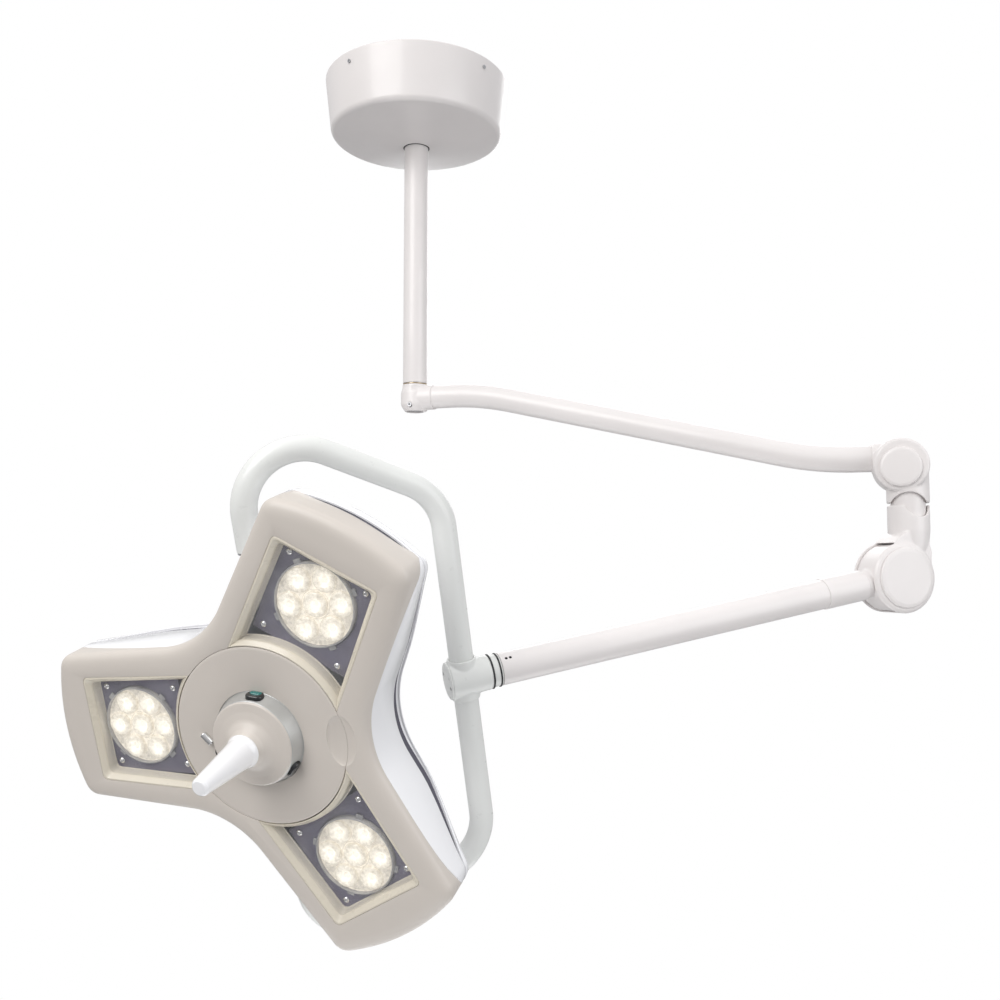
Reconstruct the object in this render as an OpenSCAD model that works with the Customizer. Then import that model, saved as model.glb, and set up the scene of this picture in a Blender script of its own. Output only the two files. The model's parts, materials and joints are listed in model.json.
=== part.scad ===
// Three-lobe ceiling operating light: down tube, level arm, spring arm, yoke and lamp head.
// Origin on the ceiling at the down tube's axis. +Z is up, +Y points away from the operator.

/* [Ceiling mount] */
// Distance from the ceiling down to the swivel hub's centre
drop_len = 600; // [450:10:1200]
// Outer diameter of the down tube
down_od = 45; // [40:1:50]
// Wall of the down tube
down_wall = 3.5; // [2.5:0.5:4]
// Canopy diameter at the ceiling
canopy_top_d = 343; // [320:1:360]
// Canopy diameter at its lower rim
canopy_low_d = 321; // [300:1:322]
// Height of the canopy's side wall
canopy_h = 102; // [90:1:110]
// Depth of the canopy's conical underside
canopy_cone_h = 22; // [20:1:36]
// Pitch circle of the ceiling bolts
bolt_pcd = 160; // [150:5:170]
// Diameter of the ceiling bolt holes
bolt_hole_d = 11; // [9:0.5:12]

/* [Level arm] */
// Horizontal reach from the down tube to the elbow
reach = 850; // [700:10:1000]
// Outer diameter of the arm tube
arm_od = 42.4; // [38:0.2:42.4]
// Drop of the arm tube between its two level ends
arm_drop = 142; // [120:1:160]
// Direction of the level arm as built, turned towards the operator
arm_turn = 18.5; // [0:0.5:45]

/* [Spring arm] */
// Length from the lift pin to the yoke's axis
spring_len = 708; // [650:1:800]
// Outer diameter of the spring arm's tube
spring_od = 45; // [42:0.5:46]
// Direction of the spring arm as built, turned towards the operator
spring_turn = 16; // [0:0.5:45]
// Slope of the spring arm as built
spring_slope = 11; // [-20:0.5:30]
// Offset of the lift pin from the elbow's swivel axis
lift_offset = 30; // [26:1:32]
// Height of the lift pin below the ceiling
lift_drop = 935; // [925:1:945]

/* [Yoke] */
// Outer diameter of the yoke tube
yoke_od = 34; // [30:0.5:35]
// Half the length of the yoke's straight spine, to its corner
spine_half = 257; // [250:1:280]
// Distance from the spine to the head's pivot axis
yoke_depth = 250; // [248:1:270]
// Rise of each leg away from the spine
leg_rise = 30; // [25:1:32]
// Radius of the tube's bends
bend_r = 75; // [60:1:80]
// Roll of the yoke about the spring arm as built
yoke_roll = 13.5; // [-30:0.5:30]

/* [Lamp head] */
// Radius from the head's centre to a lobe's end
lobe_r = 312; // [305:1:320]
// Radius from the head's centre to the bottom of each notch
notch_r = 150; // [146:1:154]
// Distance from the head's centre to the line of a lobe's side
side_c = 122; // [118:1:126]
// Taper of each lobe's side
side_taper = 4; // [2:0.5:6]
// Corner radius at a lobe's end
corner_r = 22; // [18:1:32]
// Radius from the head's centre to each optic's centre
pod_r = 194; // [188:1:198]
// Radius of each round optic
optic_r = 55; // [48:1:55]
// Radius of the centre plate
plate_r = 120; // [118:1:124]
// Tilt of the head as built, from the yoke's plane
head_tilt = 36.8; // [20:0.2:60]
// Distance from the pivot axis to the front face
face_h = 48; // [44:1:52]
// Distance from the pivot axis to the back edge of the side walls
wall_back = 31; // [28:1:34]
// How much thinner the head is at the lobes' ends
rear_lift = 26; // [15:1:28]

/* [Handle] */
// Length of the grip beyond its mount
grip_len = 92; // [80:1:120]
// Diameter of the grip at its root
grip_root_d = 36; // [30:1:38]
// Diameter of the grip at its tip
grip_tip_d = 22; // [16:1:26]

/* [Hidden] */
$fn = 64;
eps = 0.01;
gap = 0.3;
run_fit = 0.05;

// Colours
warm_white = [0.93, 0.90, 0.89];
cool_white = [0.82, 0.84, 0.82];
beige = [0.74, 0.69, 0.63];
bright_white = [0.95, 0.95, 0.97];
steel = [0.72, 0.73, 0.75];
dark = [0.12, 0.12, 0.14];
brass = [0.78, 0.62, 0.32];

// Derived sizes
canopy_screw_turn = 5;
canopy_screw_z = -19;
hub_z = -drop_len;
hub_r = 26;
arm_z = hub_z - 3;
arm_bend_r = 500;
arm_vertex_1 = 128;
arm_vertex_2 = 715;
arm_angle = atan(arm_drop / (arm_vertex_2 - arm_vertex_1));
arm_tangent = arm_bend_r * tan(arm_angle / 2);
arm_slant = (arm_vertex_2 - arm_vertex_1) / cos(arm_angle);
elbow_z = arm_z - arm_drop - 13;
elbow_drum_r = 42;
drum_half = 32.5;
neck_r = 26;
neck_split = -818;
lower_drum_r = 55;
root_drum_r = 52;
cheek_half = 29.5;
slot_half = 22.5;
root_half = slot_half - gap;
spindle_r = 13;
tube_end = -52;
hub_back = -36;
hub_front = 23;
trunnion_r = 10;
stub_len = 10;
upper_far_r = 74;
lower_far_r = 80;
lower_cut = 7;
lower_fall = 5;
pivot_in = 188;
pivot_out = 226;
wall_t = 3;
lock_at = [77, 4];
lock_turn = 132;
rise_from = 200;
rise_to = 300;
flat_share = 0.55;
taper_sum = sin(60 + side_taper);
notch_fillet = (notch_r * taper_sum - side_c) / (1 - taper_sum);
win_in = 112;
win_out = 252;
win_half = 66;
plate_z = 42;
module_z = 14;
deck_h = 14;

// ---- shared shapes ----

// A round bar or tube along +Z
module pipe(len, od, id = 0) {
    rotate_extrude()
        translate([id / 2, 0])
            square([(od - id) / 2, len]);
}

// A tube's path lies in the XZ plane as stations [x, z, heading], heading turning from +Z to +X
function straight(p, len) = [[p[0] + len * sin(p[2]), p[1] + len * cos(p[2]), p[2]]];

// The stations of a bend of radius r; a negative r and turn bend the other way
function bend(p, r, turn, steps) = [for (i = [1 : steps]) let (a = p[2] + turn * i / steps)
    [p[0] + r * (cos(p[2]) - cos(a)), p[1] + r * (sin(a) - sin(p[2])), a]];

function last(path) = path[len(path) - 1];

// A hollow tube swept along a path
module swept_tube(path, od, id, sides = 24) {
    n = sides;
    m = len(path);
    function station(p, r) = [for (i = [0 : n - 1]) let (a = 360 * i / n)
        [p[0] + r * cos(a) * cos(p[2]), r * sin(a), p[1] - r * cos(a) * sin(p[2])]];
    polyhedron(
        points = [for (r = [od / 2, id / 2]) for (p = path) for (q = station(p, r)) q],
        faces = concat(
            [for (j = [0 : m - 2]) for (i = [0 : n - 1])
                [j * n + i, (j + 1) * n + i, (j + 1) * n + (i + 1) % n, j * n + (i + 1) % n]],
            [for (j = [m : 2 * m - 2]) for (i = [0 : n - 1])
                [j * n + i, j * n + (i + 1) % n, (j + 1) * n + (i + 1) % n, (j + 1) * n + i]],
            [for (i = [0 : n - 1]) [i, (i + 1) % n, m * n + (i + 1) % n, m * n + i]],
            [for (i = [0 : n - 1]) [(m - 1) * n + i, (2 * m - 1) * n + i,
                (2 * m - 1) * n + (i + 1) % n, (m - 1) * n + (i + 1) % n]]));
}

// A pan-head screw with a cross slot, head towards +Z, its shank below
module screw(head_d, head_h, shank_d, shank_len) {
    difference() {
        union() {
            cylinder(d = head_d, h = head_h);
            translate([0, 0, -shank_len])
                cylinder(d = shank_d, h = shank_len + eps);
        }
        for (a = [0, 90])
            rotate([0, 0, a])
                translate([-head_d * 0.35, -head_d * 0.06, head_h * 0.5])
                    cube([head_d * 0.7, head_d * 0.12, head_h]);
    }
}

// Points of an arc
function arc(cx, cy, r, from, to, steps) =
    [for (i = [0 : steps]) let (a = from + (to - from) * i / steps) [cx + r * cos(a), cy + r * sin(a)]];

// Corner radius of the outline once it is moved inwards by inset, and the corner's angle
function corner_left(inset) = max(corner_r - inset, 1);

function corner_turn(inset) = let (r = corner_left(inset))
    asin((side_c - inset - r) / (lobe_r - inset - r)) - side_taper;

function corner_arc(inset) = let (
        r = corner_left(inset),
        a = corner_turn(inset),
        d = lobe_r - inset - r)
    arc(d * cos(a), d * sin(a), r, a + 12, 90 - side_taper, 4);

// One lobe of the head's outline with the notch that follows it, moved inwards by inset
function lobe(inset) = let (near = corner_arc(inset)) concat(
    arc(0, 0, lobe_r - inset, -corner_turn(inset), corner_turn(inset), 6),
    near,
    arc((notch_r + notch_fillet) * cos(60), (notch_r + notch_fillet) * sin(60),
        notch_fillet + inset, 270 - side_taper, 210 + side_taper, 10),
    [for (i = [len(near) - 1 : -1 : 0]) turned([near[i][0], -near[i][1]], 120)]);

function turned(p, a) = [p[0] * cos(a) - p[1] * sin(a), p[0] * sin(a) + p[1] * cos(a)];

// The whole three-lobe outline
function outline(inset) = [for (k = [0 : 2]) for (p = lobe(inset)) turned(p, 120 * k)];

// How far the rear edge rises towards the face at radius r, so that the lobes thin out
function rear_rise(r) = rear_lift * min(max((r - rise_from) / (rise_to - rise_from), 0), 1);

// A cup through rings of the outline: levels outside, then levels inside, each
// [height, inset, share of full size], every point raised by the rear rise at its radius
module lofted(levels) {
    rings = [for (l = levels) [for (p = outline(l[1])) let (q = p * l[2])
        [q[0], q[1], l[0] + rear_rise(norm(q))]]];
    n = len(rings[0]);
    m = len(rings);
    half = m / 2;
    polyhedron(
        points = concat([for (ring = rings) for (p = ring) p],
            [[0, 0, levels[half - 1][0]], [0, 0, levels[half][0]]]),
        faces = concat(
            [for (i = [0 : n - 1]) [(half - 1) * n + i, (half - 1) * n + (i + 1) % n, m * n]],
            [for (i = [0 : n - 1]) [half * n + (i + 1) % n, half * n + i, m * n + 1]],
            [for (j = [0 : m - 1]) if (j != half - 1) for (i = [0 : n - 1])
                let (k = (j + 1) % m)
                [j * n + i, j * n + (i + 1) % n, k * n + (i + 1) % n]],
            [for (j = [0 : m - 1]) if (j != half - 1) for (i = [0 : n - 1])
                let (k = (j + 1) % m)
                [j * n + i, k * n + (i + 1) % n, k * n + i]]));
}

// A window's opening in lobe 1, in the plane of the face, grown by extra
module window_shape(extra) {
    difference() {
        polygon([
            [win_in - 30, -win_half - extra - 8],
            [win_out + extra, -win_half - extra],
            [win_out + extra, win_half + extra],
            [win_in - 30, win_half + extra + 8]]);
        circle(r = plate_r + 4 - extra, $fn = 96);
    }
}

// The area of a lobe's end, where the front shell wraps back
module lobe_end_area(extra = 0) {
    translate([272 - extra, -150])
        square([80, 300]);
}

// ---- frames ----

module arm_frame() {
    rotate([0, 0, -arm_turn])
        children();
}

module elbow_frame() {
    arm_frame()
        translate([reach, 0, 0])
            rotate([0, 0, arm_turn + 180 + spring_turn])
                children();
}

module lift_frame() {
    elbow_frame()
        translate([lift_offset, 0, -lift_drop])
            children();
}

module spring_frame() {
    lift_frame()
        rotate([0, spring_slope, 0])
            children();
}

module yoke_frame() {
    spring_frame()
        translate([spring_len, 0, 0])
            rotate([-yoke_roll, 0, 0])
                children();
}

// The head's own frame: +Z out of the face, +X along the lobe that points away from the spine
module head_frame() {
    yoke_frame()
        translate([yoke_depth, 0, 0])
            rotate([0, 0, -head_tilt])
                rotate([-90, 0, 0])
                    children();
}

// Repeats its children on lobe k, counted from 1
module on_lobe(k) {
    rotate([0, 0, 120 * (k - 1)])
        children();
}

// ---- ceiling mount ----

module ceiling_plate() {
    color(steel)
        difference() {
            union() {
                translate([0, 0, -8])
                    cylinder(r = 105, h = 8);
                for (a = [45 : 90 : 315])
                    rotate([0, 0, a + canopy_screw_turn]) {
                        translate([90, -11, -3])
                            cube([76, 22, 3]);
                        translate([163, -11, -26])
                            cube([3, 22, 26]);
                    }
            }
            translate([0, 0, -9])
                cylinder(d = 40, h = 10);
            for (a = [0 : 90 : 270])
                rotate([0, 0, a]) {
                    translate([bolt_pcd / 2, 0, -9])
                        cylinder(d = bolt_hole_d, h = 10);
                    rotate([0, 0, 45])
                        translate([46, 0, -9])
                            cylinder(d = 8.4, h = 10);
                    rotate([0, 0, 45 + canopy_screw_turn])
                        translate([160, 0, canopy_screw_z])
                            rotate([0, 90, 0])
                                cylinder(d = 4.2, h = 10);
                }
        }
}

module mounting_flange() {
    color(steel)
        difference() {
            union() {
                translate([0, 0, -18])
                    cylinder(r = 58, h = 10);
                translate([0, 0, -64])
                    cylinder(r = 31, h = 47);
            }
            translate([0, 0, -65])
                cylinder(r = down_od / 2 + run_fit, h = 60);
            for (a = [45 : 90 : 315])
                rotate([0, 0, a])
                    translate([46, 0, -19])
                        cylinder(d = 9, h = 12);
            translate([-40, 0, -45])
                rotate([0, 90, 0])
                    cylinder(d = 8.4, h = 80);
        }
}

module flange_bolts() {
    color(steel)
        for (a = [45 : 90 : 315])
            rotate([0, 0, a])
                translate([46, 0, 0]) {
                    translate([0, 0, -24])
                        cylinder(d = 14.4, h = 6, $fn = 6);
                    translate([0, 0, -18.1])
                        cylinder(d = 8, h = 17);
                }
}

module tube_cross_bolt() {
    color(steel)
        translate([0, 0, -45])
            rotate([0, 90, 0]) {
                translate([0, 0, -36.5])
                    cylinder(d = 14.4, h = 5.3, $fn = 6);
                translate([0, 0, -31.3])
                    cylinder(d = 8, h = 70);
                translate([0, 0, 31.2])
                    cylinder(d = 14.4, h = 6.5, $fn = 6);
            }
}

// Half-section of the canopy's outer or inner skin, moved inwards by t
function canopy_skin(t) = let (
        low = canopy_low_d / 2,
        top = canopy_top_d / 2,
        r = 12,
        mouth = 25,
        cx = top - (top - low) * (canopy_h - r) / canopy_h - r,
        slope = atan(canopy_cone_h / (cx - mouth)))
    concat([[top - t, 0]],
        arc(cx, r - canopy_h, r - t, 0, slope - 90, 6),
        [[mouth, t / cos(slope) - canopy_h - canopy_cone_h]]);

module canopy() {
    skin = canopy_skin(0);
    inner = canopy_skin(2.5);
    color(warm_white)
        difference() {
            rotate_extrude($fn = 96)
                polygon(concat(skin, [for (i = [len(inner) - 1 : -1 : 0]) inner[i]]));
            for (a = [45 : 90 : 315])
                rotate([0, 0, a + canopy_screw_turn])
                    translate([160, 0, canopy_screw_z])
                        rotate([0, 90, 0])
                            cylinder(d = 4.4, h = 20);
        }
}

module canopy_screws() {
    color(steel)
        for (a = [45 : 90 : 315])
            rotate([0, 0, a + canopy_screw_turn])
                translate([170, 0, canopy_screw_z])
                    rotate([0, 90, 0])
                        screw(7, 1.6, 4, 14);
}

module canopy_grommet() {
    z = -canopy_h - canopy_cone_h;
    color(dark)
        union() {
            translate([0, 0, z])
                pipe(6, 49.6, down_od + 0.4);
            translate([0, 0, z + 5])
                pipe(1.5, 56, down_od + 0.4);
        }
}

module power_supply() {
    color(steel) {
        difference() {
            translate([62, -60, -52])
                cube([62, 120, 44 - eps]);
            for (y = [-40 : 20 : 40])
                translate([123, y - 2, -44])
                    cube([2, 4, 28]);
        }
    }
}

module terminal_block() {
    color(bright_white)
        difference() {
            translate([-104, -24, -28])
                cube([26, 48, 20 - eps]);
            for (y = [-18 : 12 : 18])
                translate([-91, y, -29])
                    cylinder(d = 5, h = 8);
        }
}

module down_tube() {
    color(warm_white)
        difference() {
            translate([0, 0, hub_z + 24.5])
                pipe(-hub_z - 34.5, down_od, down_od - 2 * down_wall);
            translate([-40, 0, -45])
                rotate([0, 90, 0])
                    cylinder(d = 8.4, h = 80);
        }
}

module swivel_spindle() {
    color(steel)
        translate([0, 0, hub_z]) {
            translate([0, 0, 24.5])
                cylinder(r = down_od / 2 - down_wall - run_fit, h = 50);
            translate([0, 0, 23.5])
                cylinder(r = 21, h = 1);
            difference() {
                translate([0, 0, -26])
                    cylinder(r = spindle_r, h = 50);
                translate([0, 0, -22])
                    pipe(8, 40, 2 * spindle_r - 3);
            }
        }
}

// ---- level arm ----

module radial_hub() {
    color(warm_white)
        arm_frame()
            difference() {
                union() {
                    translate([0, 0, hub_z - 26])
                        cylinder(r = hub_r, h = 48);
                    translate([0, 0, hub_z - 29])
                        cylinder(r1 = hub_r - 3, r2 = hub_r, h = 3);
                    translate([0, 0, arm_z])
                        rotate([0, 90, 0])
                            cylinder(r = 23.6, h = 44);
                }
                translate([0, 0, hub_z - 27])
                    cylinder(r = 16, h = 60);
                translate([20, 0, arm_z])
                    rotate([0, 90, 0])
                        cylinder(r = arm_od / 2 + run_fit, h = 30);
                translate([0, -10, hub_z - 18])
                    rotate([90, 0, 0])
                        cylinder(d = 8.2, h = 30);
            }
}

module hub_bushes() {
    color(brass)
        for (z = [-11, 8])
            translate([0, 0, hub_z + z])
                pipe(13, 32, 2 * (spindle_r + run_fit));
}

module hub_thrust_washer() {
    color(brass)
        translate([0, 0, hub_z + 22.1])
            pipe(1.1, 44, 2 * spindle_r + 0.6);
}

module hub_brake_screw() {
    color(steel)
        arm_frame()
            translate([0, 0, hub_z - 18])
                rotate([90, 0, 0])
                    difference() {
                        translate([0, 0, spindle_r - 1.2])
                            cylinder(d = 8, h = hub_r - spindle_r + 1);
                        translate([0, 0, hub_r - 3.5])
                            cylinder(d = 4.6, h = 5, $fn = 6);
                    }
}

module radial_tube() {
    start = [0, 0, 0];
    first = straight(start, arm_vertex_1 - arm_tangent - 22);
    down = bend(last(first), arm_bend_r, arm_angle, 5);
    slant = straight(last(down), arm_slant - 2 * arm_tangent);
    up = bend(last(slant), -arm_bend_r, -arm_angle, 5);
    end = straight(last(up), 806 - arm_vertex_2 - arm_tangent);
    color(warm_white)
        arm_frame()
            translate([22, 0, arm_z])
                rotate([0, 90, 0])
                    swept_tube(concat([start], first, down, slant, up, end), arm_od, arm_od - 7, 32);
}

module upper_elbow() {
    color(warm_white)
        arm_frame()
            difference() {
                union() {
                    translate([reach - 10, drum_half, elbow_z])
                        rotate([90, 0, 0])
                            cylinder(r = elbow_drum_r, h = 2 * drum_half);
                    translate([797, 0, arm_z - arm_drop])
                        rotate([0, 90, 0])
                            cylinder(r = 24.6, h = 40);
                    translate([reach, 0, neck_split])
                        cylinder(r = 32, h = elbow_z - neck_split);
                }
                translate([796, 0, arm_z - arm_drop])
                    rotate([0, 90, 0])
                        cylinder(r = arm_od / 2 + run_fit, h = 17);
                translate([reach, 0, neck_split - 1])
                    cylinder(r = neck_r + 0.1, h = 39);
                translate([reach, 0, neck_split])
                    cylinder(r = 18 + run_fit, h = 50);
                translate([reach, 40, neck_split - 5])
                    rotate([90, 0, 0])
                        cylinder(r = 22, h = 80);
            }
}

// A shallow domed disc that closes a drum's flat side, its back at z = 0
module disc_cap(r, h) {
    rotate_extrude($fn = 96)
        polygon(concat([[0, 0], [r, 0]],
            arc(r - 2.5, h * 0.35, 2.5, 0, 80, 4),
            [[r * 0.5, h * 0.35 + 3.1], [0, h * 0.35 + 3.6]]));
}

module upper_elbow_caps() {
    color(warm_white)
        arm_frame()
            translate([reach - 11, 0, elbow_z - 4])
                for (side = [-1, 1])
                    translate([0, side * drum_half, 0])
                        rotate([-side * 90, 0, 0])
                            disc_cap(31.5, 6);
}

module neck_spindle() {
    color(warm_white)
        arm_frame()
            translate([reach, 0, 0]) {
                translate([0, 0, -845])
                    cylinder(r = neck_r, h = 64);
                translate([0, 0, -782])
                    cylinder(r = 18, h = 12);
                translate([0, 0, -880])
                    cylinder(r = 15, h = 37);
            }
}

// ---- elbow ----

module lower_elbow() {
    color(warm_white)
        elbow_frame()
            difference() {
                union() {
                    translate([0, 0, -lift_drop + 50])
                        cylinder(r = 33, h = lift_drop - 871);
                    translate([lift_offset, cheek_half, -lift_drop])
                        rotate([90, 0, 0])
                            cylinder(r = lower_drum_r, h = 2 * cheek_half);
                    translate([-24, -cheek_half + 2, -lift_drop])
                        cube([54, 2 * cheek_half - 4, 66]);
                }
                translate([0, 0, -846])
                    cylinder(r = neck_r + 0.5, h = 30);
                translate([0, 0, -881])
                    cylinder(r = 19, h = 44);
                translate([0, 40, -816])
                    rotate([90, 0, 0])
                        cylinder(r = 24, h = 80);
                translate([lift_offset, slot_half, -lift_drop])
                    rotate([90, 0, 0])
                        cylinder(r = root_drum_r + 0.5, h = 2 * slot_half);
                translate([lift_offset + 3, -slot_half, -lift_drop - 60])
                    cube([90, 2 * slot_half, 120]);
                translate([lift_offset, 40, -lift_drop])
                    rotate([90, 0, 0])
                        cylinder(r = 12 + run_fit, h = 80);
            }
}

module lower_elbow_caps() {
    color(warm_white)
        lift_frame()
            for (side = [-1, 1])
                translate([0, side * cheek_half, 0])
                    rotate([-side * 90, 0, 0])
                        disc_cap(47, 4);
}

module elbow_bushes() {
    color(brass)
        elbow_frame()
            for (z = [-880, -860])
                translate([0, 0, z])
                    pipe(12, 38, 2 * (15 + run_fit));
}

module lift_pin() {
    color(steel)
        lift_frame()
            translate([0, cheek_half - 0.5, 0])
                rotate([90, 0, 0])
                    cylinder(r = 12, h = 2 * cheek_half - 1);
}

// ---- spring arm ----

module arm_root() {
    color(warm_white)
        spring_frame()
            difference() {
                union() {
                    translate([0, root_half, 0])
                        rotate([90, 0, 0])
                            cylinder(r = root_drum_r, h = 2 * root_half);
                    translate([20, 0, 0])
                        rotate([0, 90, 0])
                            cylinder(r = 22, h = 44);
                    translate([60, 0, 0])
                        rotate([0, 90, 0])
                            cylinder(r = spring_od / 2 - 3.5, h = 50);
                }
                translate([0, 40, 0])
                    rotate([90, 0, 0])
                        cylinder(r = 12 + run_fit, h = 80);
            }
}

module spring_arm_tube() {
    color(warm_white)
        spring_frame()
            difference() {
                translate([64, 0, 0])
                    rotate([0, 90, 0])
                        pipe(spring_len + tube_end - 64, spring_od, spring_od - 7 + 0.1);
                for (x = [60, 66])
                    translate([spring_len - x, 0, 0])
                        rotate([-47, 0, 0])
                            cylinder(d = 4.2, h = 30);
            }
}

module arm_sleeve() {
    color(warm_white)
        spring_frame()
            translate([62, 0, 0])
                rotate([0, 90, 0])
                    pipe(71, spring_od + 2.6, spring_od + 0.1);
}

// Corners of a helical wire's section at step i
function coil_ring(i, steps, turns, r, wire, len) = let (
        a = 360 * turns * i / steps,
        x = len * i / steps)
    [for (j = [0 : 5]) [x + wire * sin(60 * j), (r + wire * cos(60 * j)) * cos(a),
        (r + wire * cos(60 * j)) * sin(a)]];

module balance_spring() {
    turns = 18;
    steps = turns * 12;
    points = [for (i = [0 : steps]) for (p = coil_ring(i, steps, turns, 13, 1.8, 300)) p];
    color(steel)
        spring_frame()
            translate([114, 0, 0])
                polyhedron(points = points,
                    faces = concat(
                        [[0, 1, 2, 3, 4, 5]],
                        [[for (j = [5 : -1 : 0]) steps * 6 + j]],
                        [for (i = [0 : steps - 1]) for (j = [0 : 5])
                            [i * 6 + j, (i + 1) * 6 + j, (i + 1) * 6 + (j + 1) % 6]],
                        [for (i = [0 : steps - 1]) for (j = [0 : 5])
                            [i * 6 + j, (i + 1) * 6 + (j + 1) % 6, i * 6 + (j + 1) % 6]]));
}

module spring_rod() {
    color(steel)
        spring_frame()
            translate([110, 0, 0])
                rotate([0, 90, 0])
                    cylinder(r = 6, h = 330);
}

module spring_adjuster() {
    color(brass)
        spring_frame()
            translate([418, 0, 0])
                rotate([0, 90, 0])
                    difference() {
                        cylinder(r = 17, h = 12);
                        translate([0, 0, -1])
                            cylinder(r = 6 + run_fit, h = 14);
                    }
}

module roll_spindle() {
    color(steel)
        spring_frame()
            translate([spring_len, 0, 0])
                rotate([0, 90, 0]) {
                    translate([0, 0, tube_end - 45])
                        cylinder(r = spring_od / 2 - 3.5, h = 45);
                    translate([0, 0, tube_end - eps])
                        cylinder(r = 12, h = 70);
                }
}

module arm_set_screws() {
    color(dark)
        spring_frame()
            for (x = [60, 66])
                translate([spring_len - x, 0, 0])
                    rotate([-47, 0, 0])
                        translate([0, 0, spring_od / 2 - 3.4])
                            difference() {
                                cylinder(d = 4, h = 3);
                                translate([0, 0, 1.5])
                                    cylinder(d = 2.3, h = 3, $fn = 6);
                            }
}

// ---- yoke ----

module yoke_hub() {
    color(cool_white)
        yoke_frame()
            difference() {
                rotate([0, 90, 0])
                    rotate_extrude()
                        polygon([
                            [0, tube_end + 0.4], [22.4, tube_end + 0.4], [22.4, hub_back],
                            [24, hub_back], [26, hub_front - 6], [26, hub_front - 2], [0, hub_front - 2]]);
                translate([tube_end - 1, 0, 0])
                    rotate([0, 90, 0])
                        cylinder(r = 12 + run_fit, h = 71);
                for (side = [-1, 1])
                    translate([0, 0, side > 0 ? 14 : -54])
                        cylinder(r = yoke_od / 2 + run_fit, h = 40);
                for (side = [-1, 1])
                    translate([hub_front - 10, side * 17, -side * 5])
                        rotate([0, 90, 0])
                            cylinder(d = 3.2, h = 12);
            }
}

module hub_cap() {
    color(cool_white)
        yoke_frame()
            difference() {
                translate([hub_front - 2, 0, 0])
                    rotate([0, 90, 0])
                        rotate_extrude()
                            polygon([[0, 0], [25.6, 0], [25.6, 1.2], [23.6, 2.4], [0, 3.2]]);
                for (side = [-1, 1])
                    translate([hub_front - 3, side * 17, -side * 5])
                        rotate([0, 90, 0])
                            cylinder(d = 6.2, h = 12);
            }
}

module hub_cap_screws() {
    color(dark)
        yoke_frame()
            for (side = [-1, 1])
                translate([hub_front - 1.8, side * 17, -side * 5])
                    rotate([0, 90, 0])
                        screw(6, 1.8, 3, 7);
}

module seal_rings() {
    color(dark)
        yoke_frame() {
            translate([hub_back - 3, 0, 0])
                rotate([0, 90, 0])
                    pipe(2.4, 48.6, 44.8);
            translate([tube_end + 2.4, 0, 0])
                rotate([0, 90, 0])
                    pipe(2.4, 47.2, 44.8);
        }
}

// Half of the yoke: along the spine, out along the leg that rises from it, then back to the pivot
module yoke_half(half_len, rise, far_r) {
    first_turn = 90 - rise;
    second_turn = 90 + rise;
    t1 = bend_r * tan(first_turn / 2);
    t2 = far_r * tan(second_turn / 2);
    end_len = half_len + yoke_depth * tan(rise) - t2 - pivot_out - 4;
    start = [0, 14, 0];
    spine = straight(start, half_len - t1 - 14);
    out = bend(last(spine), bend_r, first_turn, 8);
    leg = straight(last(out), yoke_depth / cos(rise) - t1 - t2);
    back = bend(last(leg), far_r, second_turn, 14);
    end = straight(last(back), end_len);
    swept_tube(concat([start], spine, out, leg, back, end), yoke_od, yoke_od - 6, 20);
}

module yoke_tube_upper() {
    color(cool_white)
        yoke_frame()
            yoke_half(spine_half, leg_rise, upper_far_r);
}

module yoke_tube_lower() {
    color(cool_white)
        yoke_frame()
            mirror([0, 0, 1])
                yoke_half(spine_half - lower_cut, leg_rise - lower_fall, lower_far_r);
}

module trunnions() {
    color(steel)
        yoke_frame()
            translate([yoke_depth, 0, 0])
                for (side = [0, 1])
                    mirror([0, 0, side]) {
                        translate([0, 0, pivot_out + 1])
                            cylinder(r = 16, h = 3);
                        translate([0, 0, pivot_out + 4 - eps])
                            cylinder(r = (yoke_od / 2 - 3) * cos(9) - run_fit, h = stub_len);
                        translate([0, 0, pivot_in - 26])
                            cylinder(r = trunnion_r, h = pivot_out - pivot_in + 28);
                    }
}

// ---- lamp head ----

// The round openings in the side walls where the yoke's ends pass
module pivot_holes() {
    rotate([90, 0, 0])
        translate([0, 0, -300])
            cylinder(r = yoke_od / 2 + 1.2, h = 600);
}

// The side wall's ring, at the lobes' ends or along the notches
module wall_shape(at_ends, clearance = 0) {
    difference() {
        intersection() {
            difference() {
                polygon(outline(0));
                polygon(outline(wall_t));
            }
            if (at_ends)
                lobe_ends(0);
            else
                circle(r = 2 * lobe_r);
        }
        if (!at_ends)
            lobe_ends(clearance);
    }
}

module lobe_ends(extra) {
    for (k = [1 : 3])
        on_lobe(k)
            lobe_end_area(extra);
}

module rear_cover() {
    edge = -wall_back - 6.8;
    color(bright_white)
        head_frame()
            lofted([[edge, 0, 1], [edge - 6, 1.2, 1], [edge - 11.5, 5, 1], [edge - 16.2, 16, 1],
                [edge - 16.2, 16, flat_share], [edge - 13.2, 17, flat_share],
                [edge - 13.2, 17, 1], [edge - 9.5, 8, 1], [edge - 5.2, 4.2, 1], [edge, wall_t, 1]]);
}

// The space behind the side walls, their rear edge being z where the lobes are deepest
module behind_walls(z) {
    rotate_extrude($fn = 96)
        polygon([[rise_from - 10, z - 60], [rise_from - 10, z - eps], [rise_from, z],
            [rise_to, z + rear_lift], [lobe_r + 40, z + rear_lift], [lobe_r + 40, z - 60]]);
}

// The front shell's rounded edge is built up in steps of [bottom, top, inset]
shell_steps = [[36, 40, 0], [40, 42, 1.5], [42, 44, 4], [44, 46, 8], [46, face_h, 14]];

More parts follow.
